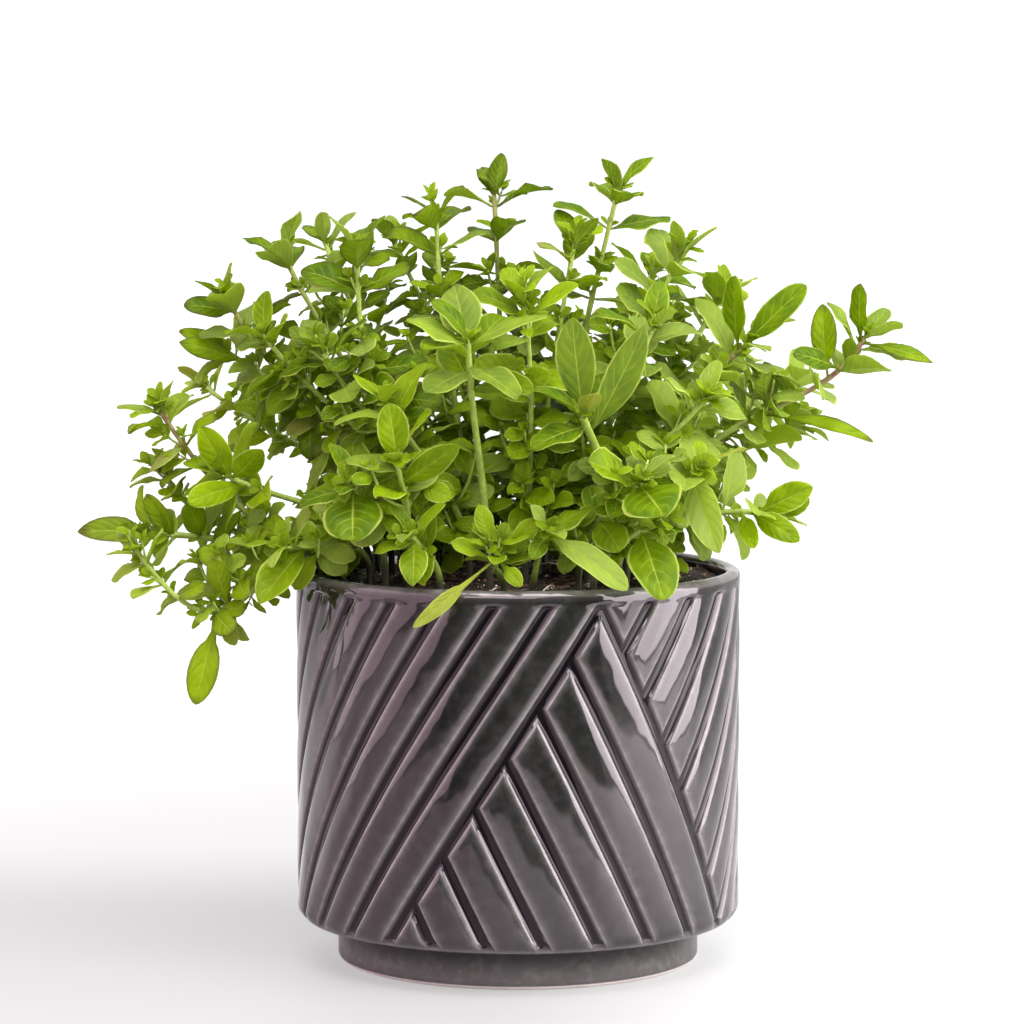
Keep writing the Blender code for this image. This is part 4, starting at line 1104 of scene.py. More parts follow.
def build_soil(material):
    """The soil: a closed plug with a crumbly top."""
    profile = inside_profile(SOIL_GAP)
    radius = profile[-1][0]
    rings = [(r, z, False) for r, z in profile]
    rings += [(radius * (1.0 - step / SOIL_STEPS), SOIL_CROWN, True) for step in range(SOIL_STEPS)]
    points, faces = [], []
    for r, z, on_top in rings[1:]:
        for side in range(SOIL_SIDES):
            angle = 2.0 * math.pi * side / SOIL_SIDES
            x, y = r * math.sin(angle), -r * math.cos(angle)
            points.append((x, y, fine_soil(x, y) if on_top else z))
    for ring in range(len(rings) - 2):
        for side in range(SOIL_SIDES):
            a, b = ring * SOIL_SIDES + side, ring * SOIL_SIDES + (side + 1) % SOIL_SIDES
            faces.append((a, b, b + SOIL_SIDES, a + SOIL_SIDES))
    base, top = len(points), len(points) + 1
    points += [(0.0, 0.0, profile[0][1]), (0.0, 0.0, fine_soil(0.0, 0.0))]
    last = (len(rings) - 2) * SOIL_SIDES
    faces += [(base, (side + 1) % SOIL_SIDES, side) for side in range(SOIL_SIDES)]
    faces += [(last + side, last + (side + 1) % SOIL_SIDES, top) for side in range(SOIL_SIDES)]
    soil = add_mesh("soil_crumbly", [Vector(point) * MM for point in points], faces, [material])
    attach(soil, "root")
    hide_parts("soil")


def spot_on_soil(draw, reach):
    """A place on the soil, drawn evenly over a disc."""
    radius, angle = math.sqrt(draw.random()) * reach, draw.uniform(0.0, 2.0 * math.pi)
    return radius * math.cos(angle), radius * math.sin(angle)


def build_crumbs(material, fibre_material):
    """Loose crumbs and bark fibres on the soil."""
    draw = random.Random(SEED + 2)
    crumbs, fibres = [], []
    golden = (1.0 + math.sqrt(5.0)) / 2.0
    corners = np.array([(0, s, t * golden) for s in (-1, 1) for t in (-1, 1)]
                       + [(s, t * golden, 0) for s in (-1, 1) for t in (-1, 1)]
                       + [(t * golden, 0, s) for s in (-1, 1) for t in (-1, 1)]) / 1.9
    tree_faces = [(a, b, c) for a in range(12) for b in range(a + 1, 12) for c in range(b + 1, 12)
                  if all(abs(np.linalg.norm(corners[i] - corners[j]) - 2 / 1.9) < 0.01
                         for i, j in ((a, b), (b, c), (a, c)))]
    outward = []
    for a, b, c in tree_faces:
        out = np.cross(corners[b] - corners[a], corners[c] - corners[a]).dot(corners[a]) > 0
        outward.append((a, b, c) if out else (a, c, b))
    outward = np.array(outward)
    for _ in range(CRUMBS):
        x, y = spot_on_soil(draw, CRUMB_REACH)
        size = draw.uniform(*CRUMB_SIZE) * (1.0 if draw.random() < 0.8 else 1.6)
        turn = np.array(Matrix.Rotation(draw.uniform(0.0, 6.3), 3, Vector(
            (draw.uniform(-1, 1), draw.uniform(-1, 1), draw.uniform(-1, 1))).normalized()))
        stretch = np.array([draw.uniform(0.6, 1.3), draw.uniform(0.6, 1.2), draw.uniform(0.4, 0.9)])
        bumps = np.array([draw.uniform(0.75, 1.2) for _ in range(12)])[:, None]
        points = (corners * bumps * stretch * size / 2) @ turn.T + (x, y, fine_soil(x, y) + size * 0.12)
        look = (draw.random(), draw.random(), 0.0)
        crumbs.append(plain_skin(points, outward, look))
    for _ in range(FIBRES):
        x, y = spot_on_soil(draw, FIBRE_REACH)
        heading, length = draw.uniform(0.0, 2.0 * math.pi), draw.uniform(*FIBRE_LENGTH)
        bend, tilt = draw.uniform(-0.6, 0.6), draw.uniform(-0.12, 0.25)
        path = []
        for step in range(5):
            share = step / 4 - 0.5
            reach_x = math.cos(heading + bend * share) * length * share
            reach_y = math.sin(heading + bend * share) * length * share
            px, py = x + reach_x, y + reach_y
            scale = min(1.0, FIBRE_LIMIT / max(1.0, math.hypot(px, py)))
            px, py = px * scale, py * scale
            path.append((px, py, soil_top(px, py) + FIBRE_LIFT + length * share * tilt))
        width = draw.uniform(*FIBRE_WIDTH)
        look = (draw.random(), draw.random(), 0.0)
        fibres.append(round_tube(path, [width * 0.5, width, width, width, width * 0.4], look, 6, 0.0))
    for name, skins, finish in (("soil_crumbs", crumbs, material),
                                ("soil_fibres", fibres, fibre_material)):
        piece = make_piece(name, skins, [finish], sharp=40.0 if name == "soil_crumbs" else None)


# Leafy stems

def curve_point(shoot, sway, path, base):
    """The point of the smooth curve that stands for a point of the straight pieces."""
    handles = shoot_handles(shoot, sway)
    spans = list(zip(path[1:], path[2:]))
    shares = [clamp((base - first).dot(second - first) / (second - first).length_squared)
              for first, second in spans]
    gaps = [(base - first.lerp(second, share)).length for (first, second), share in zip(spans, shares)]
    best = gaps.index(min(gaps))
    t = (best + shares[best]) / STEM_STEPS
    start, handle_1, handle_2, tip = handles
    ahead = ((1 - t) ** 2 * (handle_1 - start) + 2 * t * (1 - t) * (handle_2 - handle_1)
             + t * t * (tip - handle_2)).normalized()
    return bezier(handles, t), ahead


def tuft(base, axis, around, reach, leaf_length, pairs, draw, look, stalk_look):
    """A short side shoot with pairs of small leaves."""
    skins = []
    axis = axis.normalized()
    tip = base + axis * reach + UP * reach * 0.12
    if reach > 0.6:
        skins.append(round_tube([base, base.lerp(tip, 0.5) - UP * 0.04 * reach, tip], TUFT_STALK,
                                stalk_look, 6, 0.0))
    for rank in range(pairs):
        spread = math.radians(TUFT_SPREAD[rank] + draw.uniform(-8.0, 8.0))
        place = base.lerp(tip, 1.0 - 0.28 * rank)
        for out in opposite_sides(axis, math.radians(90.0 * rank + around)):
            aim = (axis * math.cos(spread) + out * math.sin(spread) + UP * 0.1).normalized()
            face = square_to(aim, axis * 0.7 + UP * 0.5 + LIGHT_SIDE * 0.5)
            length = leaf_length * TUFT_GROWTH[rank] * draw.uniform(0.8, 1.2)
            leaf = Leaf("", place, aim, face, length, length * draw.uniform(*TUFT_LEAF_SHAPE),
                        math.radians(draw.uniform(*TUFT_DROOP)))
            tint = (clamp(look[0] + draw.uniform(-0.2, 0.2)), look[1], look[2])
            skins.append(fine_leaf(leaf, draw, tint, "small"))
    return skins


def facing_light(place, ahead, aim):
    """The way a leaf's upper side looks: up and outwards, as leaves turn to the light."""
    outward = Vector((place.x, place.y, 0.0)).normalized()
    return square_to(aim, ahead * SIDE_FACE_AHEAD + UP * SIDE_FACE_UP + outward * FACE_OUT
                     + LIGHT_SIDE * SIDE_FACE_LIGHT)


def side_leaf(name, place, ahead, aim, length, draw):
    """One leaf of a side shoot or of a lower pair."""
    return Leaf(name, place, aim, facing_light(place, ahead, aim), length,
                length * draw.uniform(*SIDE_LEAF_SHAPE), math.radians(draw.uniform(*LEAF_DROOP)))


def lower_growth(shoot, path, solids, draw):
    """Smaller pairs of leaves down the bare part of a stem, and side shoots in their axils."""
    name = shoot[0]
    height = path_length(path)
    lowest = PAIR_DROP[min(shoot[8], len(PAIR_DROP)) - 1] * shoot[7] / FULL_LEAF
    below_tip = lowest + draw.uniform(5.0, 8.0)
    leaves, stalks, rank = [], [], 0
    if name in BARE_STEMS:
        return leaves, stalks
    while height - below_tip > 4.0:
        place, ahead = point_along(path, 1.0 - below_tip / height)
        if place.y < BARE_FRONT[0] and place.z < SOIL_CROWN + BARE_FRONT[1]:
            break
        around = math.radians(90.0 * rank + draw.uniform(-30.0, 30.0))
        for out in opposite_sides(ahead, around):
            aim = (ahead * draw.uniform(0.1, 0.6) + out + UP * draw.uniform(-0.1, 0.3)).normalized()
            settle(side_leaf(name, place, ahead, aim, draw.uniform(0.66, 0.98) * shoot[7], draw),
                   leaves, solids)
            if draw.random() < SIDE_SHOOT_SHARE:
                grown = side_shoot(name, place, (out + ahead * draw.uniform(0.5, 1.0)).normalized(),
                                   draw.uniform(*SIDE_SHOOT_LENGTH), solids, draw)
                if grown:
                    stalks.append(grown)
        below_tip += draw.uniform(*LOWER_SPACING)
        rank += 1
    return leaves, stalks


def side_shoot(name, base, heading, length, solids, draw):
    """A side shoot that curves up, with its pairs of leaves, or nothing where it has no room."""
    middle = base + heading * length * 0.5
    tip = middle + (heading * 0.45 + UP * 0.75).normalized() * length * 0.5
    stalk = [base, base.lerp(middle, 0.55), middle * 0.75 + base.lerp(tip, 0.5) * 0.25,
             middle.lerp(tip, 0.55), tip]
    others = [solid for solid in solids if solid.owner != name]
    if touches(as_solid(name, *square_tube(stalk)), others):
        return None
    solids.append(as_solid(name, *square_tube(stalk)))
    leaves = []
    for rank, (share, size) in enumerate(SIDE_PAIRS):
        if length * (1.0 - share) > length - 3.0:
            break
        place = stalk[-1].lerp(stalk[2], (1.0 - share) * 2.0) if share > 0.5 else stalk[2].lerp(
            stalk[0], 1.0 - share * 2.0)
        ahead = (stalk[-1] - stalk[2]).normalized() if share > 0.5 else heading
        around = math.radians(90.0 * rank + draw.uniform(-25.0, 25.0))
        for out in opposite_sides(ahead, around):
            aim = (ahead * draw.uniform(0.45, 0.9) + out + UP * 0.1).normalized()
            settle(side_leaf(name, place, ahead, aim, size * draw.uniform(0.8, 1.2), draw),
                   leaves, solids)
    return stalk, leaves


def stem_hairs(rings, draw, look):
    """Fine hairs standing off a stem."""
    places, outs, lengths = [], [], []
    for _ in range(HAIRS):
        index = draw.randrange(2, len(rings) - 1)
        share = draw.random()
        (place_1, radius_1), (place_2, radius_2) = rings[index], rings[min(index + 1, len(rings) - 1)]
        ahead = (place_2 - place_1).normalized() if index + 1 < len(rings) else UP
        out = Matrix.Rotation(draw.uniform(0.0, 6.283), 3, ahead) @ ahead.orthogonal().normalized()
        radius = radius_1 + (radius_2 - radius_1) * share
        places.append(place_1.lerp(place_2, share) + out * radius * 0.96)
        outs.append((out + ahead * draw.uniform(-0.2, 0.5)).normalized())
        lengths.append(draw.uniform(*HAIR_LENGTH))
    return spikes(places, outs, lengths, HAIR_WIDTH, look)


def build_shoot(shoot, sway, path, chosen, main, lower, stalks, materials, draw):
    """One leafy stem: stem, stalked leaves, tufts in the axils, a bud and fine hairs."""
    name = shoot[0]
    red = RED_TIPS.get(name, 0.0)
    thicker = THICK_STEMS.get(name, 1.0)
    fine = shoot_path(shoot, sway, FINE_STEPS)
    last = len(fine) - 1
    nodes = []
    skins = []
    shoot_tint = draw.uniform(0.2, 0.8)

    def leaf_look(leaf, yellow, pale):
        height = clamp((leaf.base.z - SOIL_CROWN) / BUSH_HEIGHT)
        old = clamp(0.35 - height) * draw.uniform(0.0, 0.6)
        brown = BROWN_RIMS.get(name, 0.0) * draw.uniform(0.3, 1.0)
        # Painted shade and light: the tint is darker on the listed shoots and towards the bush's top,
        # and lighter on shaded shoots and low down
        tint = (shoot_tint - SHOOT_PAINTED_SHADE.get(name, 0.0) + draw.uniform(-TINT_JITTER, TINT_JITTER)
                - TOP_PAINTED_SHADE * clamp(height * 2.0 - 0.8) + LOW_PAINTED_LIGHT * clamp(1.5 - height * 2.2))
        return (clamp(tint), yellow or old * 0.5, pale or -brown)

    def paleness(leaf, chance):
        # Leaves are pale now and then at random, and more often towards the bush's sides and on the
        # listed shoots, as a painted backlit haze
        backlit_haze = max(0.7 * clamp((leaf.base.x - 25.0) / 40.0), 0.4 * clamp((-leaf.base.x - 40.0) / 40.0))
        if draw.random() < chance + backlit_haze + SHOOT_PAINTED_BACKLIGHT.get(name, 0.0):
            return draw.uniform(0.35, 0.9)
        return 0.0

    for leaf in [*chosen, *main, *lower]:
        base, ahead = curve_point(shoot, sway, path, leaf.base)
        nodes.append((base, ahead, leaf))
        special = leaf in chosen
        yellow = 0.0
        if special:
            yellow = YELLOWED.get(name, 0.0) if leaf is chosen[0] else 0.0
        elif draw.random() < YELLOWING:
            yellow = 0.5
        pale = PALE.get(name, 0.0) if special else paleness(leaf, 0.14)
        skins.append(fine_leaf(leaf._replace(base=base), draw, leaf_look(leaf, yellow, pale),
                               "full" if special or leaf in main else "middle",
                               LONG_STALKS.get(name) if special else None))
    for stalk, leaves in stalks:
        moved = curve_point(shoot, sway, path, stalk[0])[0] - stalk[0]
        skins.append(round_tube([stalk[0] + moved, *stalk[1:]], SIDE_STALK,
                                (shoot_tint, red * 0.4, 0.5), 6, 0.05))
        for leaf in leaves:
            skins.append(fine_leaf(leaf, draw, leaf_look(leaf, 0.0, paleness(leaf, 0.12)),
                                   "small" if leaf.length < SMALL_LEAF else "middle"))
        axis = (stalk[-1] - stalk[-2]).normalized()
        skins += tuft(stalk[-1] - axis * 0.3, axis, draw.uniform(0.0, 180.0), 1.2,
                      draw.uniform(4.0, 6.0), 2, draw, TIP_LOOK, (0.7, 0.0, 1.0))
    widths, looks, rings = [], [], []
    for index, place in enumerate(fine):
        share = max(0.0, (index - 1) / (last - 1))
        width = (STEM_ROOT_WIDTH + (STEM_TIP_WIDTH - STEM_ROOT_WIDTH) * share) * (
            1.0 + (thicker - 1.0) * clamp(share * 4.0) if thicker > 1.0 else 1.0)
        near = min([(place - base).length for base, _, _ in nodes] or [99.0])
        width *= 1.0 + NODE_SWELL * math.exp(-(near / NODE_REACH) ** 2)
        widths.append(width)
        looks.append((shoot_tint, red * clamp((share - 0.45) / 0.4), share))
        rings.append((place, width / 2))
    skins.append(round_tube(fine, widths, np.array(looks)))
    tip_ahead = (fine[-1] - fine[-2]).normalized()
    skins += tuft(fine[-1] - tip_ahead * 0.5, tip_ahead, draw.uniform(0.0, 180.0), 1.6,
                  shoot[7] * 0.33, 2, draw, TIP_LOOK, (0.8, red, 1.0))
    for base, ahead, leaf in nodes:
        if leaf in chosen or name in BARE_STEMS or draw.random() < BARE_AXILS:
            continue
        axis = leaf.aim * draw.uniform(0.5, 0.9) + ahead * draw.uniform(0.7, 1.1)
        reach = draw.uniform(1.0, 3.0) if draw.random() < 0.6 else draw.uniform(3.0, 7.0)
        length = draw.uniform(3.8, 6.4) if reach < 3.0 else draw.uniform(5.5, 9.0)
        skins += tuft(base, axis, draw.uniform(0.0, 180.0), reach, length, 1 if reach < 2.0 else 2,
                      draw, (clamp(shoot_tint + 0.2), 0.0, 0.0), (0.7, red * 0.6, 0.8))
    skins.append(stem_hairs(rings, draw, (0.9, 0.0, 1.0)))
    piece = make_piece("leafy_" + name, skins, materials, sharp=78.0)
    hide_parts("stem_" + name)


# Materials

def set_inputs(tree, node, values):
    """Sets a node's inputs to values, or links them to the sockets that feed them."""
    for name, value in values.items():
        socket = node.inputs[name]
        if isinstance(value, bpy.types.NodeSocket):
            tree.links.new(value, socket)
        else:
            socket.default_value = value


def place_node(tree, kind, values=None, **settings):
    """A node in a tree, with its settings and its inputs."""
    made = tree.nodes.new(kind)
    for name, value in settings.items():
        setattr(made, name, value)
    set_inputs(tree, made, values or {})
    return made


def calculate(tree, operation, *values, bounded=False):
    """The output of one Math node."""
    return place_node(tree, "ShaderNodeMath", dict(enumerate(values)), operation=operation,
                      use_clamp=bounded).outputs[0]


def weigh(tree, first, share_1, second, share_2):
    """Two masks added by their shares, kept between 0 and 1."""
    return calculate(tree, "MULTIPLY_ADD", first, share_1,
                     calculate(tree, "MULTIPLY", second, share_2), bounded=True)


def inverse(tree, mask):
    """The mask turned round: 1 where it was 0."""
    return calculate(tree, "SUBTRACT", 1.0, mask)


def soft_step(tree, value, low, high):
    """A mask that rises smoothly from 0 at low to 1 at high."""
    return place_node(tree, "ShaderNodeMapRange", {"Value": value, "From Min": low, "From Max": high},
                      interpolation_type="SMOOTHSTEP").outputs[0]


def blend_colours(tree, mask, first, second):
    """A mix of two colours, each a socket or its red, green and blue."""
    first, second = [(*colour, 1.0) if isinstance(colour, tuple) else colour
                     for colour in (first, second)]
    return place_node(tree, "ShaderNodeMix", {0: mask, 6: first, 7: second},
                      data_type="RGBA").outputs[2]


def lay_over(tree, base, colour, mask, share):
    """A colour laid over another by a share of a mask."""
    return blend_colours(tree, calculate(tree, "MULTIPLY", mask, share, bounded=True), base, colour)


def object_place(tree):
    """Where a point lies on its object."""
    return place_node(tree, "ShaderNodeTexCoord").outputs["Object"]


def split(tree, vector):
    """The three parts of a vector."""
    return place_node(tree, "ShaderNodeSeparateXYZ", {0: vector}).outputs


def attribute_parts(tree, name):
    """The three values that a mesh keeps at its points."""
    return split(tree, place_node(tree, "ShaderNodeAttribute", attribute_name=name).outputs["Vector"])


def clouds(tree, scale, detail=2.0, roughness=0.5, place=None):
    """Cloudy noise that stays on the object."""
    place = object_place(tree) if place is None else place
    return place_node(tree, "ShaderNodeTexNoise", {"Vector": place, "Scale": scale, "Detail": detail,
                                                   "Roughness": roughness}).outputs["Fac"]


def patches(tree, mottle, size, low, high):
    """Soft uneven patches, from the shared group."""
    return place_node(tree, "ShaderNodeGroup", {"Size": size, "Low": low, "High": high},
                      node_tree=mottle).outputs[0]


def add_relief(tree, shader, height, strength, distance):
    """Fine relief on a surface."""
    normal = place_node(tree, "ShaderNodeBump", {"Height": height, "Strength": strength,
                                                 "Distance": distance}).outputs[0]
    tree.links.new(normal, shader.inputs["Normal"])
    return normal


def from_midrib(tree, across):
    """How far a point of the leaf map is from the midrib: 1 at the edge."""
    return calculate(tree, "ABSOLUTE", calculate(tree, "MULTIPLY_ADD", across, 2.0, -1.0))


def new_group(name, inputs, outputs):
    """An empty shader node group. An input without a default value is a vector."""
    tree = bpy.data.node_groups.new(name, "ShaderNodeTree")
    for label, default in inputs.items():
        kind = "NodeSocketVector" if default is None else "NodeSocketFloat"
        socket = tree.interface.new_socket(name=label, in_out="INPUT", socket_type=kind)
        if default is not None:
            socket.default_value = default
    for label in outputs:
        tree.interface.new_socket(name=label, in_out="OUTPUT", socket_type="NodeSocketFloat")
    return tree, tree.nodes.new("NodeGroupInput").outputs, tree.nodes.new("NodeGroupOutput").inputs


def mottle_group():
    """Soft uneven patches over a surface."""
    tree, ins, outs = new_group("mottle", {"Size": 100.0, "Low": 0.4, "High": 0.6}, ["Patches"])
    tree.links.new(soft_step(tree, clouds(tree, ins["Size"], 3.0), ins["Low"], ins["High"]), outs[0])
    return tree


def veins_group():
    """A leaf's midrib, side veins, edge and relief, from its leaf map."""
    tree, ins, outs = new_group("leaf veins", {"Place": None, "Pairs": 5.0},
                                ["Midrib", "Veins", "Edge", "Relief"])
    across, along, _ = split(tree, ins["Place"])
    out = from_midrib(tree, across)
    thin = calculate(tree, "MULTIPLY_ADD", along, -MIDRIB_THINNING, MIDRIB_WIDTH)
    rib = inverse(tree, soft_step(tree, out, calculate(tree, "MULTIPLY", thin, MIDRIB_CORE), thin))
    curve = calculate(tree, "MULTIPLY_ADD", calculate(tree, "POWER", out, VEIN_BEND), -VEIN_SLANT, along)
    phase = calculate(tree, "MULTIPLY", curve, ins["Pairs"])
    away = calculate(tree, "PINGPONG", phase, 0.5)
    branch = inverse(tree, soft_step(tree, away, *VEIN_WIDTH))
    fading = inverse(tree, soft_step(tree, out, *VEIN_FADE))
    veins = calculate(tree, "MULTIPLY", branch, fading)
    edge = soft_step(tree, out, *LEAF_EDGE)
    swell = calculate(tree, "MULTIPLY", soft_step(tree, away, 0.0, 0.5), 0.5)
    relief = calculate(tree, "SUBTRACT", swell, calculate(tree, "MULTIPLY", rib, MIDRIB_SINK))
    for socket, value in zip(outs, (rib, veins, edge, relief)):
        tree.links.new(value, socket)
    return tree


def start_material(name):
    """A new material, its tree, its Principled shader and its output."""
    material = bpy.data.materials.new(name)
    material.use_nodes = True
    tree = material.node_tree
    return material, tree, tree.nodes["Principled BSDF"], tree.nodes["Material Output"]


def leaf_material(name, groups, dark, light, vein, edge, roughness):
    """A thin leaf: veins and edge from its map, patches, ageing, and light let through."""
    material, tree, shader, output = start_material(name)
    mottle, veins_tree = groups
    place = place_node(tree, "ShaderNodeUVMap", uv_map="leaf map").outputs[0]
    tint, yellow, pale = attribute_parts(tree, "look")
    lines = place_node(tree, "ShaderNodeGroup", {"Place": place, "Pairs": VEIN_PAIRS},
                       node_tree=veins_tree)
    uneven = patches(tree, mottle, 210.0, 0.35, 0.68)
    shade = weigh(tree, uneven, 0.35, tint, 0.8)
    green = lay_over(tree, blend_colours(tree, shade, dark, light), PALE_LEAF, pale, 0.75)
    across, along, _ = split(tree, place)
    ageing = calculate(tree, "MULTIPLY_ADD", along, 0.5, 0.35)
    ageing = calculate(tree, "MULTIPLY", yellow, calculate(tree, "MULTIPLY_ADD", uneven, 0.5, ageing),
                       bounded=True)
    green = blend_colours(tree, ageing, green, YELLOWED_LEAF)
    burnt = calculate(tree, "MULTIPLY", yellow, -1.0, bounded=True)
    green = lay_over(tree, green, OLIVE_LEAF, burnt, 0.5)
    green = blend_colours(tree, calculate(tree, "MULTIPLY", burnt, soft_step(tree, along, 0.72, 0.95)),
                          green, BURNT_TIP)
    for part, colour, share in (("Veins", vein, 0.34), ("Midrib", vein, 0.8), ("Edge", edge, 0.75)):
        green = lay_over(tree, green, colour, lines.outputs[part], share)
    browned = calculate(tree, "MULTIPLY", pale, -2.0, bounded=True)
    out = from_midrib(tree, across)
    rim = calculate(tree, "MAXIMUM", soft_step(tree, out, 0.74, 0.95), soft_step(tree, along, 0.84, 1.0))
    green = blend_colours(tree, calculate(tree, "MULTIPLY", rim, browned), green, BROWN_RIM)
    set_inputs(tree, shader, {"Base Color": green, "Roughness": roughness,
                              "Specular IOR Level": LEAF_SHINE})
    height = calculate(tree, "MULTIPLY_ADD", clouds(tree, 1500.0), 0.05, lines.outputs["Relief"])
    normal = add_relief(tree, shader, height, 0.55, 0.00035)
    warm = blend_colours(tree, shade, *LIT_THROUGH)
    warm = lay_over(tree, warm, PALE_LIT_THROUGH, pale, 0.8)
    warm = blend_colours(tree, ageing, warm, YELLOW_LIT_THROUGH)
    glow = place_node(tree, "ShaderNodeBsdfTranslucent", {"Normal": normal, "Color": warm})
    mix = place_node(tree, "ShaderNodeMixShader", {0: SEE_THROUGH, 1: shader.outputs[0],
                                                   2: glow.outputs[0]})
    tree.links.new(mix.outputs[0], output.inputs["Surface"])
    return material


def stem_material(mottle):
    """A pale green stem, darkened with painted shade at its foot, that reddens towards some tips."""
    material, tree, shader, _ = start_material("oregano stem")
    tint, red, along = attribute_parts(tree, "look")
    uneven = patches(tree, mottle, 420.0, 0.35, 0.7)
    shade = weigh(tree, uneven, 0.5, tint, 0.5)
    green = blend_colours(tree, shade, *STEM_COLOURS)
    # Painted shade near the soil: the stem's foot is darkened
    green = lay_over(tree, green, STEM_FOOT_SHADE, inverse(tree, soft_step(tree, along, 0.06, 0.34)), 0.96)
    flush = calculate(tree, "MULTIPLY", red, calculate(tree, "MULTIPLY_ADD", uneven, 0.6, 0.6),
                      bounded=True)
    set_inputs(tree, shader, {"Base Color": blend_colours(tree, flush, green, STEM_RED),
                              "Roughness": 0.5})
    add_relief(tree, shader, clouds(tree, 900.0), 0.3, 0.0002)
    return material


def glaze_material(name, mottle, shine):
    """Glossy grey glaze: dark where it pools in the grooves, thin and pale on the bands' edges with a
    painted highlight there; a lower shine dulls its reflections as painted shade.
    """
    material, tree, shader, _ = start_material(name)
    pooled, edge, bare = attribute_parts(tree, "glaze")
    broad = patches(tree, mottle, 38.0, 0.3, 0.7)
    fine = patches(tree, mottle, 330.0, 0.42, 0.7)
    grey = lay_over(tree, blend_colours(tree, broad, *GLAZE_COLOURS), GLAZE_THIN, fine, 0.5)
    wall = calculate(tree, "MULTIPLY", pooled, inverse(tree, pooled))
    grey = lay_over(tree, grey, GLAZE_PURPLE, wall, 2.6)
    grey = lay_over(tree, grey, GLAZE_POOL, calculate(tree, "POWER", pooled, 1.6), 0.9)
    # The pale of thin glaze, also a painted highlight on the edges and lip and painted light on the foot
    wear_and_highlight = calculate(tree, "MULTIPLY", edge, calculate(tree, "MULTIPLY_ADD", fine, 0.12, 0.34))
    grey = blend_colours(tree, wear_and_highlight, grey, WORN_GLAZE_AND_HIGHLIGHT)
    set_inputs(tree, shader, {"Base Color": blend_colours(tree, bare, grey, BARE_CLAY),
                              "Roughness": calculate(tree, "MULTIPLY_ADD", bare, 0.6, 0.065),
                              "IOR": GLAZE_IOR, "Specular Tint": (*GLAZE_TINT, 1.0),
                              "Specular IOR Level": shine})
    place = place_node(tree, "ShaderNodeVectorMath", {0: object_place(tree), 1: (1.0, 1.0, 0.5)},
                       operation="MULTIPLY").outputs[0]
    ripple = clouds(tree, 62.0, 2.0, 0.3, place)
    height = calculate(tree, "MULTIPLY_ADD", clouds(tree, 420.0, 0.0, 0.5, place), 0.008, ripple)
    add_relief(tree, shader, height, 0.5, 0.0022)
    return material


def soil_material(name, mottle, dark, light):
    """Dark damp potting soil, its crumbs or its fibres."""
    material, tree, shader, _ = start_material(name)
    uneven = patches(tree, mottle, 500.0, 0.4, 0.72)
    tone, chance, _ = attribute_parts(tree, "look")
    brown = blend_colours(tree, weigh(tree, tone, 0.6, uneven, 0.6), dark, light)
    brown = blend_colours(tree, soft_step(tree, chance, *GRIT_CHANCE), brown, PALE_GRIT)
    set_inputs(tree, shader, {"Base Color": brown,
                              "Roughness": calculate(tree, "MULTIPLY_ADD", uneven, -0.3, 0.9)})
    add_relief(tree, shader, clouds(tree, 1100.0, 4.0), 0.8, 0.0006)
    return material


# Studio

def add_light(name, place, target, width, height, power, colour):
    """A soft rectangular light that looks at a target."""
    light = bpy.data.lights.new(name, "AREA")
    light.shape = "RECTANGLE"
    light.size, light.size_y = width, height
    light.energy = power
    light.color = colour
    thing = add_object(name, light)
    thing.location = place
    thing.rotation_euler = (Vector(target) - Vector(place)).to_track_quat("-Z", "Y").to_euler()


def floor_material():
    """Pale floor: it lights the pot as in the photo, and fades to white where it is seen, through a
    painted glow that is dimmest near the pot on its left, as a painted shadow.
    """
    material, tree, shader, _ = start_material("studio floor")
    place = object_place(tree)
    seen = place_node(tree, "ShaderNodeLightPath").outputs["Is Camera Ray"]
    across, ahead, _ = split(tree, place)
    pale = blend_colours(tree, clouds(tree, 40.0), *FLOOR_SPECKS)
    pale = blend_colours(tree, soft_step(tree, across, -0.16, 0.0), FLOOR_LEFT, pale)
    pale = blend_colours(tree, soft_step(tree, across, 0.02, 0.25), pale, FLOOR_RIGHT)
    pale = blend_colours(tree, soft_step(tree, ahead, -0.05, 0.15), pale, FLOOR_BEHIND)
    pale = blend_colours(tree, soft_step(tree, ahead, -0.40, -0.32), FLOOR_IN_FRONT, pale)
    # Painted glow seen by the camera: dimmest near the pot on its left, as a painted shadow, brighter
    # behind, to the right and far away
    glow = calculate(tree, "MULTIPLY_ADD", soft_step(tree, ahead, 0.06, 0.20), 0.15, 0.42)
    glow = calculate(tree, "MULTIPLY_ADD", soft_step(tree, across, -0.02, 0.10), 0.30, glow)
    away = place_node(tree, "ShaderNodeVectorMath", {0: place}, operation="LENGTH").outputs["Value"]
    glow = calculate(tree, "MULTIPLY_ADD", soft_step(tree, away, 0.22, 0.75), 0.6, glow)
    set_inputs(tree, shader, {
        "Base Color": blend_colours(tree, seen, pale, FLOOR_SEEN), "Roughness": 0.6,
        "Emission Color": blend_colours(tree, glow, (0.0, 0.0, 0.0), (1.0, 0.995, 0.995)),
        "Emission Strength": seen})
    return material


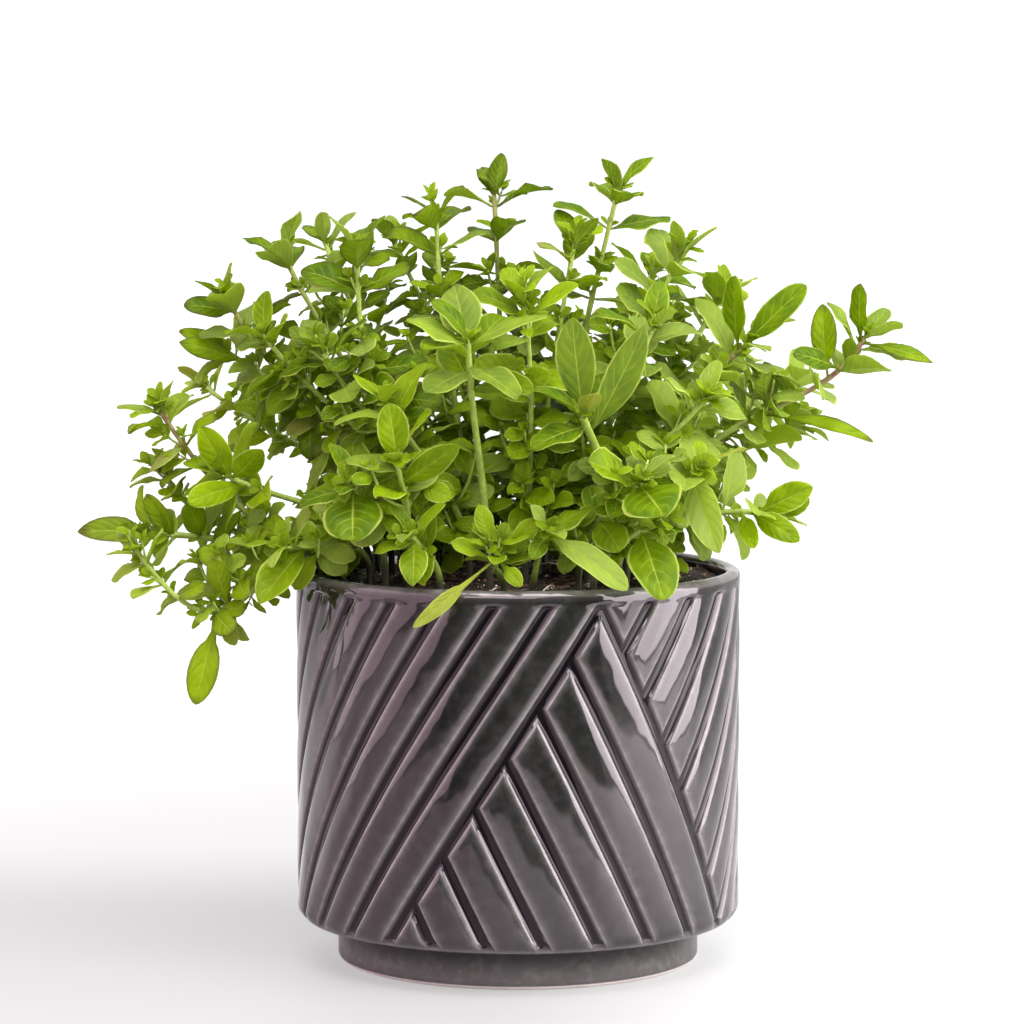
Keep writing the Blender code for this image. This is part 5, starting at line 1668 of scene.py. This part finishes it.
def light_room():
    """A white surround, dimmer from the front and slightly rosy from the left."""
    world = bpy.data.worlds.new("studio")
    bpy.context.scene.world = world
    world.use_nodes = True
    tree = world.node_tree
    background = tree.nodes["Background"]
    seen = place_node(tree, "ShaderNodeLightPath").outputs["Is Camera Ray"]
    across, heading, _ = split(tree, place_node(tree, "ShaderNodeTexCoord").outputs["Generated"])
    side = blend_colours(tree, soft_step(tree, across, -0.8, -0.1), ROSY, WHITE)
    room = calculate(tree, "MULTIPLY_ADD", soft_step(tree, heading, -0.6, 0.25), 0.95, 0.10)
    set_inputs(tree, background, {"Color": blend_colours(tree, seen, side, WHITE),
                                  "Strength": calculate(tree, "MAXIMUM", seen, room)})


def build_studio():
    """Floor, lights, world and camera."""
    corners = [(x * FLOOR_REACH, y * FLOOR_REACH, -FLOOR_GAP)
               for x, y in ((-1, -1), (1, -1), (1, 1), (-1, 1))]
    floor = add_mesh("floor", corners, [(0, 1, 2, 3)], [floor_material()])
    light_room()
    for name, settings in LIGHTS.items():
        add_light(name, *settings)
    lens = bpy.data.cameras.new("camera")
    lens.lens, lens.sensor_width = CAMERA_LENS
    camera = add_object("camera", lens)
    camera.location = CAMERA_PLACE
    camera.rotation_euler = (math.radians(90.0 - CAMERA_TILT), 0.0, 0.0)
    bpy.context.scene.camera = camera
    bpy.context.scene.view_settings.view_transform = "Standard"


def main():
    """Builds every piece round the frame."""
    groups = (mottle_group(), veins_group())
    mottle = groups[0]
    upper = leaf_material("leaf upper side", groups, *UPPER_SIDE)
    under = leaf_material("leaf underside", groups, *UNDERSIDE)
    stem = stem_material(mottle)
    build_pot([glaze_material(name, mottle, shine) for name, shine in GLAZE_SHINE.items()])
    soil, crumb, fibre = (soil_material(name, mottle, *colours)
                          for name, colours in SOIL_COLOURS.items())
    build_soil(soil)
    build_crumbs(crumb, fibre)
    fixed = [mesh_solid(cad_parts["pot"]), mesh_solid(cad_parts["soil"])]
    sways, paths, stems = place_paths(fixed)
    chosen, placed, solids = place_leaves(paths, stems, fixed)
    draw = random.Random(SEED + 3)
    for shoot in SHOOTS:
        name = shoot[0]
        lower, stalks = lower_growth(shoot, paths[name], solids, draw)
        build_shoot(shoot, sways[name], paths[name], [leaf for leaf in chosen if leaf.shoot == name],
                    [leaf for leaf in placed if leaf.shoot == name], lower, stalks,
                    [stem, upper, under], draw)
    build_studio()


main()
